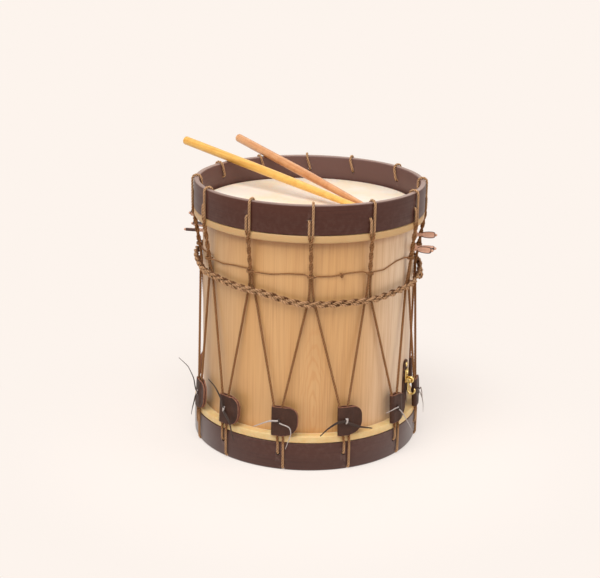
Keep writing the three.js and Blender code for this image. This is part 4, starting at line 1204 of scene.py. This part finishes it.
class DRUM_OT_girdle(bpy.types.Operator):
    """Plait the rope girdle and tie the thin cord round the rope pairs"""

    bl_idname = "drum.girdle"
    bl_label = "Plaited girdle and thin cord"

    def execute(self, context):
        sizes = context.scene.drum_sizes
        section = laid_section(sizes.plait_rope / 2)
        strands = [self.strand(n, sizes) for n in range(3)]
        plait = sweep("plaited_girdle", strands, section, lay=sizes.rope_lay, closed=True)
        dress(plait, "plait", "drum", ["braid_rope"])
        knot_azimuth = 87
        lump = polar(BRAID_RADIUS + 7.5 * MM, knot_azimuth, braid_level(knot_azimuth) - 12.5 * MM)
        knot = sweep("girdle_knot", [self.knot(lump, 2.4 * MM)], section, lay=sizes.rope_lay)
        dress(knot, "plait", "drum", ["braid_rope"])
        routes = [self.cord(sizes)]
        for azimuth in (16, bay_middle(BAYS // 2)):
            routes.append(self.knot(polar(SHELL_RADIUS + 3.3 * MM, azimuth, CORD_HEIGHT), 1 * MM))
        cord = sweep("thin_cord", routes, laid_section(sizes.cord / 2, 2, 0.6), lay=6 * MM)
        dress(cord, "hemp", "drum", ["binding_cord"])
        return {"FINISHED"}

    def strand(self, number, sizes):
        """One of the plait's three strands."""
        middle = BRAID_RADIUS + (sizes.rope + sizes.plait_rope) / 2 + sizes.plait_depth
        waves, steps = 21, 648
        route = []
        for i in range(steps):
            azimuth = 360 * i / steps
            turn = radians(azimuth) * waves + 2 * pi * number / 3
            radius = middle + sizes.plait_depth * sin(2 * turn) + 0.6 * MM * cos(radians(azimuth) * BAYS)
            route.append(polar(radius, azimuth, braid_level(azimuth) + sizes.plait_rise * sin(turn)))
        return route

    def knot(self, centre, size):
        """The lump where two ends are tied: one strand in a knot of three loops."""
        out = Vector((centre.x, centre.y, 0)).normalized()
        aside = Vector((0, 0, 1)).cross(out)
        route = []
        for i in range(97):
            t = 2 * pi * i / 96 * 0.985
            x, y, z = sin(t) + 2 * sin(2 * t), cos(t) - 2 * cos(2 * t), -1.15 * sin(3 * t)
            route.append(centre + size * (x * aside + z * out) + Vector((0, 0, size * y)))
        return soften(route, size / 2, 2)

    def cord(self, sizes):
        """Thin cord on the shell, with one and a half turns round each rope pair."""
        low = SHELL_RADIUS + sizes.cord / 2 + 0.2 * MM
        wide = sizes.rope / 2 + 1.6 * MM + sizes.cord / 2
        climb = 1.5 * sizes.cord
        back, end = BAYS // 2, 0.3
        route = [polar(low, bay_middle(back) + end, CORD_HEIGHT)]
        for pair in range(back + 1, back + BAYS + 1):
            azimuth = pair_azimuth(pair, CORD_HEIGHT)
            aside, out = polar(1, azimuth + 90, 0), polar(1, azimuth, 0)
            middle = pair_radius(pair, CORD_HEIGHT)
            level = CORD_HEIGHT + CORD_RISES[pair % BAYS] * MM
            deep = min(middle - low, sizes.rope / 2 + sizes.pair_twist + sizes.cord / 2)
            route += [polar(low, azimuth + step, level + climb / 2) for step in range(-11, -2, 2)]
            for i in range(37):
                turn = radians(180 - 540 * i / 36)
                centre = polar(middle, azimuth, level + climb * (0.5 - i / 36))
                route.append(centre + wide * cos(turn) * aside + deep * sin(turn) * out)
            route += [polar(low, azimuth + step, level - climb / 2) for step in range(3, 12, 2)]
        route.append(polar(low, bay_middle(back) + 360 - end, CORD_HEIGHT))
        return soften(route, 0.9 * MM, 3)


class DRUM_OT_tugs(bpy.types.Operator):
    """Fold the leather tugs round their ropes"""

    bl_idname = "drum.tugs"
    bl_label = "Leather tugs"

    def execute(self, context):
        sizes = context.scene.drum_sizes
        for bay in range(BAYS):
            tug = sheet(f"leather_tug_{bay + 1}", 44, 18, self.fold(sizes, bay), sizes.leather, 0.9 * MM,
                        ("leather", "raw_leather"), material=1)
            modify(tug, "SUBSURF", levels=1, render_levels=1)
            finish_sheet(tug, 60)
            settle(tug, tug_frame(bay))
            dress(tug, "leather", f"tug_{bay + 1}", [f"tug_{bay + 1}"])
        return {"FINISHED"}

    def fold(self, sizes, bay):
        """Place on the leather's middle surface: front flap, fold at the left, back flap."""
        fold_x, right = -TUG_SPREAD / 2 + 1 * MM, TUG_REACHES[bay] * MM
        apart = TUG_POCKET + sizes.leather / 2
        closed = 0.25 * MM + sizes.leather / 2
        half, drop = TUG_HALF - 1.2 * MM, 0.4 * MM
        lift = 0.7 * MM * sin(2.1 * bay + 0.4)
        flap = 0.43  # of the sheet's length

        def place(u, v):
            z = (2 * v - 1) * half - drop
            corner = (13 if z > 0 else 20) * MM
            past = max(0, abs(z + drop) - (half - corner))
            end = right - corner + sqrt(max(0, corner * corner - past * past))
            if flap <= u <= 1 - flap:
                turn = pi * (0.5 + (u - flap) / (1 - 2 * flap))
                return Vector((fold_x + apart * cos(turn), -apart * sin(turn), z))
            front = u < flap
            share = (flap - u) / flap if front else (u - 1 + flap) / flap
            x = fold_x + (end - fold_x) * share
            y = apart + (closed - apart) * ease(clamp((x - 9.5 * MM) / (6 * MM)))
            if front:
                y = -y - 0.5 * MM * share ** 3 - lift * share ** 3 * v
            return Vector((x, y, z))

        return place


class DRUM_OT_pegs(bpy.types.Operator):
    """Turn the pegs and shape their paddles"""

    bl_idname = "drum.pegs"
    bl_label = "Pegs"

    def execute(self, context):
        for n, turn in enumerate(PEG_TURNS, 1):
            azimuth, height = peg_place(n)
            shaft = self.shaft(f"snare_peg_{n}")
            shaft.data.materials.append(shade("peg"))
            peg = joined(self.paddle(), shaft)
            place = Matrix.Translation((0, 0, height)) @ turned(radians(azimuth), "Z")
            settle(peg, place @ turned(pi / 2, "X") @ turned(radians(turn), "Z"))
            dress(peg, "peg", f"peg_{n}", [f"peg_{n}"], "peg_edge", angle=40)
        return {"FINISHED"}

    def shaft(self, name):
        """Tapered shaft, collar, waisted neck and ball end, along Z, which is the way out of the drum."""
        start = (SHELL_RADIUS + GAP) / MM
        neck, paddle = start + 3, start + 9
        end = paddle + 20
        profile = [(0, 135.5), (2.8, 135.5), (3.1, 135.9), (3.6, start)]
        profile += arc((4.5, start + 0.9), 0.9, -90, 0, 3) + arc((4.5, neck - 0.9), 0.9, 0, 90, 3)
        profile += [(3.2, neck + 0.3), (2.6, neck + 1.4), (2.3, neck + 3.4)]
        profile += [(2.6, paddle), (2.2, paddle + 3), (0, paddle + 5)]
        shaft = lathe(name, mm(profile), 32)
        ball = [(0, end - 2), (0.9, end - 1.6), (0.9, end - 0.6), *arc((0, end + 1), 2, -60, 90, 8)]
        return joined(lathe("ball", mm(ball), 24), shaft)

    def paddle(self):
        """A tongue-shaped paddle with dished faces and dark bevelled edges, its thickness along Y."""
        start, run, half, thickness = SHELL_RADIUS + GAP + 9 * MM, 20 * MM, 4.8 * MM, 4 * MM
        select()
        bpy.ops.mesh.primitive_circle_add(vertices=48, radius=1, fill_type="NGON")
        paddle = bpy.context.object
        for corner in paddle.data.vertices:
            x, y = corner.co.x, corner.co.y
            square = (abs(x) ** 4 + abs(y) ** 4) ** -0.25
            share = (y * square + 1) / 2
            waist = 0.8 + 0.2 * min(1, share * 2)
            corner.co = (x * square * half * waist, -thickness / 2, start + run * share)
        for look in ("peg_edge", "peg"):
            paddle.data.materials.append(shade(look))
        bpy.ops.object.mode_set(mode="EDIT")
        bpy.ops.mesh.select_all(action="SELECT")
        bpy.ops.mesh.extrude_region_move(TRANSFORM_OT_translate={"value": (0, thickness, 0)})
        bpy.ops.mesh.select_all(action="SELECT")
        bpy.ops.mesh.normals_make_consistent(inside=False)
        for side in (-1, 1):
            self.pick(paddle, side)
            bpy.ops.mesh.inset(thickness=0.9 * MM, depth=0.3 * MM)
            bpy.context.object.active_material_index = 1
            bpy.ops.object.material_slot_assign()
            bpy.ops.mesh.inset(thickness=0.5 * MM, depth=-0.35 * MM)
            bpy.ops.mesh.inset(thickness=1.2 * MM, depth=-0.15 * MM)
        bpy.ops.object.mode_set(mode="OBJECT")
        modify(paddle, "BEVEL", width=0.5 * MM, segments=3, limit_method="ANGLE", angle_limit=radians(50))
        return paddle

    def pick(self, paddle, side):
        """Selects the widest face that looks to one side."""
        bpy.ops.mesh.select_all(action="DESELECT")
        bpy.ops.object.mode_set(mode="OBJECT")
        facing = [face for face in paddle.data.polygons if face.normal.y * side > 0.9]
        max(facing, key=lambda face: face.area).select = True
        bpy.ops.object.mode_set(mode="EDIT")
        bpy.ops.mesh.select_mode(type="FACE")


class DRUM_OT_sticks(bpy.types.Operator):
    """Turn the two drumsticks and lay them over the rim"""

    bl_idname = "drum.sticks"
    bl_label = "Drumsticks"

    def execute(self, context):
        sizes, colours = context.scene.drum_sizes, context.scene.drum_colours
        for side, name, rim_azimuth, (tip_x, tip_y), dark in (
            ("left", "yellow", 229.5, (72.75, -61.15), "d8953a"),
            ("right", "brown", 205, (92, -75.35), "b8703c"),
        ):
            tip_radius, light = getattr(sizes, name + "_tip"), getattr(colours, name + "_stick")
            tip = Vector((tip_x * MM, tip_y * MM, TOP - HEAD_DEPTH + tip_radius + 2 * GAP))
            rest = polar(HOOP_RADIUS - sizes.hoop_wall / 2, rim_azimuth, TOP + sizes.stick_butt + 2 * GAP)
            direction = (rest - tip).normalized()
            profile = self.profile(tip_radius, sizes.stick_butt, sizes.stick_length)
            stick = lathe(f"drumstick_{side}", profile, 40)
            turn = Vector((0, 0, 1)).rotation_difference(direction).to_matrix().to_4x4()
            settle(stick, Matrix.Translation(tip) @ turn)
            stick_finish(Finish(f"{side}_stick"), light, dark, direction)
            dress(stick, f"{side}_stick", f"stick_{side}", [f"stick_{side}"], angle=40)
        return {"FINISHED"}

    def profile(self, tip, butt, run):
        """Round tip, slow taper to the middle, parallel butt with a rounded end."""
        nose, edge = 0.8 * tip, 1.8 * MM
        profile = [(0, 0), *arc((tip - nose, nose), nose, -90, 0, 5)]
        for share in (i / 8 for i in range(1, 9)):
            swell = share * (1.4 - 0.4 * share)
            profile.append((tip + (butt - tip) * swell, nose + (run / 2 - nose) * share))
        return [*profile, *arc((butt - edge, run - edge), edge, 0, 90, 5), (0, run)]


class DRUM_OT_hanger(bpy.types.Operator):
    """Rivet the leather tab to the shell and hang the brass hook"""

    bl_idname = "drum.hanger"
    bl_label = "Hanger"

    def execute(self, context):
        pin = Vector(JOINTS["hook_swing"]["pos_m"])
        azimuth, distance = degrees(atan2(pin.x, -pin.y)), pin.to_2d().length
        thickness, plate = 2.4 * MM, 1.5 * MM
        self.tab(azimuth, thickness)
        turn = turned(radians(azimuth), "Z")
        seat = SHELL_RADIUS + GAP + thickness + GAP
        self.rivet(1, 121 * MM, seat, turn)
        self.rivet(2, 109 * MM, seat + GAP + plate, turn)
        self.bracket(turn, seat, plate, distance, pin.z)
        self.hook(turn, distance, pin.z, context.scene.drum_sizes.hook_wire)
        return {"FINISHED"}

    def tab(self, azimuth, thickness):
        low, high, half = 60 * MM, 128 * MM, 8 * MM
        radius = SHELL_RADIUS + GAP + thickness / 2

        def place(u, v):
            z = low + (high - low) * v
            past = max(0, low + half - z, z - high + half)
            width = sqrt(max(0.05 * half * half, half * half - past * past))
            return polar(radius, azimuth + degrees(asin((2 * u - 1) * width / radius)), z)

        tab = sheet("strap_tab", 12, 48, place, thickness, 0.5 * MM)
        finish_sheet(tab, 50)
        dress(tab, "leather", "drum", ["hanger_tab"], "raw_leather")

    def rivet(self, number, height, seat, turn):
        """Domed head outside, shank, and a flat head inside the shell."""
        inside, seat = SHELL_RADIUS / MM - 6.2, seat / MM
        profile = [(0, inside - 1.6), (3.2, inside - 1.6), (3.6, inside - 1.2), (3.6, inside)]
        profile += [(1.5, inside), (1.5, seat), (3.6, seat)]
        profile += [(3.6 * cos(pi / 16 * i), seat + 0.3 + 1.3 * sin(pi / 16 * i)) for i in range(8)]
        rivet = lathe(f"tab_rivet_{number}", mm([*profile, (0, seat + 1.6)]), 32)
        settle(rivet, Matrix.Translation((0, 0, height)) @ turn @ turned(pi / 2, "X"))
        dress(rivet, "brass", "drum", [f"hanger_rivet_{number}"], angle=40)

    def bracket(self, turn, inner, plate, distance, height):
        """A plate with two ears and the pin that carries the hook."""
        top, low, pin_radius = 114 * MM, height - 3.85 * MM, 2.1 * MM
        reach = distance + pin_radius - inner
        blocks = [((12 * MM, plate, top - low), (0, -inner - plate / 2, (top + low) / 2))]
        for side in (-1, 1):
            blocks.append(((2 * MM, reach, 6.2 * MM), (side * 5 * MM, -inner - reach / 2, height)))
        pieces = []
        for size, place in blocks:
            select()
            bpy.ops.mesh.primitive_cube_add(size=1, scale=size, location=place)
            settle(bpy.context.object)
            modify(bpy.context.object, "BEVEL", width=0.4 * MM, segments=3)
            pieces.append(bpy.context.object)
        pin = lathe("pin", mm([(0, -6.4), (1.7, -6.4), (2.1, -6), (2.1, 6), (1.7, 6.4), (0, 6.4)]), 24)
        settle(pin, Matrix.Translation((0, -distance, height)) @ turned(pi / 2, "Y"))
        bracket = joined(*pieces, pin)
        bracket.name = "hook_plate"
        settle(bracket, turn)
        dress(bracket, "brass", "drum", ["hook_bracket"], angle=40)

    def hook(self, turn, distance, height, wire):
        """One bent wire: an eye round the pin, a shank and an open mouth with a rounded tip."""
        eye, mouth, shank = 3.85 * MM, 5.5 * MM, 16 * MM
        bends = arc((0, 0), eye, -85, 180, 24) + arc((mouth - eye, -shank), mouth, 180, 395, 24)
        points = [turn @ Vector((0, -distance - out, height + up)) for out, up in bends]
        hook = sweep("brass_hook", [soften(points, 0.7 * MM, 2)], round_section(wire, 16), taper=self.tip)
        dress(hook, "brass", "hook", ["hook"], angle=60)

    def tip(self, share):
        return sqrt(max(0.12, 1 - max(0, (share - 0.97) / 0.03) ** 2))


class DRUM_OT_inside(bpy.types.Operator):
    """Finish the rings, flesh hoops and snares that stay as they are on the frame"""

    bl_idname = "drum.inside"
    bl_label = "Rings and snares"

    def execute(self, context):
        finishes = {
            "inner_wood": ("top_ring", "bottom_ring", "top_flesh_hoop", "bottom_flesh_hoop"),
            "gut": ("snare_1", "snare_2", "snare_3"),
        }
        for finish, nodes in finishes.items():
            for node in nodes:
                materials = frame["nodes"][node].data.materials
                materials.clear()
                materials.append(shade(finish))
        return {"FINISHED"}


OPERATORS = (
    DRUM_OT_stage, DRUM_OT_laces, DRUM_OT_shell, DRUM_OT_hoops, DRUM_OT_heads, DRUM_OT_rope, DRUM_OT_girdle,
    DRUM_OT_tugs, DRUM_OT_pegs, DRUM_OT_sticks, DRUM_OT_hanger, DRUM_OT_inside,
)


class DRUM_PT_pieces(bpy.types.Panel):
    """The drum's pieces, in the order in which they are made"""

    bl_idname = "DRUM_PT_pieces"
    bl_label = "Renaissance Drum"
    bl_space_type = "VIEW_3D"
    bl_region_type = "UI"
    bl_category = "Drum"

    def draw(self, context):
        for operator in OPERATORS:
            self.layout.operator(operator.bl_idname)
        for settings in (context.scene.drum_sizes, context.scene.drum_colours):
            column = self.layout.column(align=True)
            for name in settings.bl_rna.properties.keys():
                if name not in ("rna_type", "name"):
                    column.prop(settings, name)


CLASSES = (DrumSizes, DrumColours, *OPERATORS, DRUM_PT_pieces)


def register():
    for each in CLASSES:
        bpy.utils.register_class(each)
    bpy.types.Scene.drum_sizes = PointerProperty(type=DrumSizes)
    bpy.types.Scene.drum_colours = PointerProperty(type=DrumColours)


def unregister():
    del bpy.types.Scene.drum_colours
    del bpy.types.Scene.drum_sizes
    for each in reversed(CLASSES):
        bpy.utils.unregister_class(each)


def main():
    register()
    for operator in OPERATORS:
        category, name = operator.bl_idname.split(".")
        getattr(getattr(bpy.ops, category), name)()


if __name__ == "__main__":
    main()
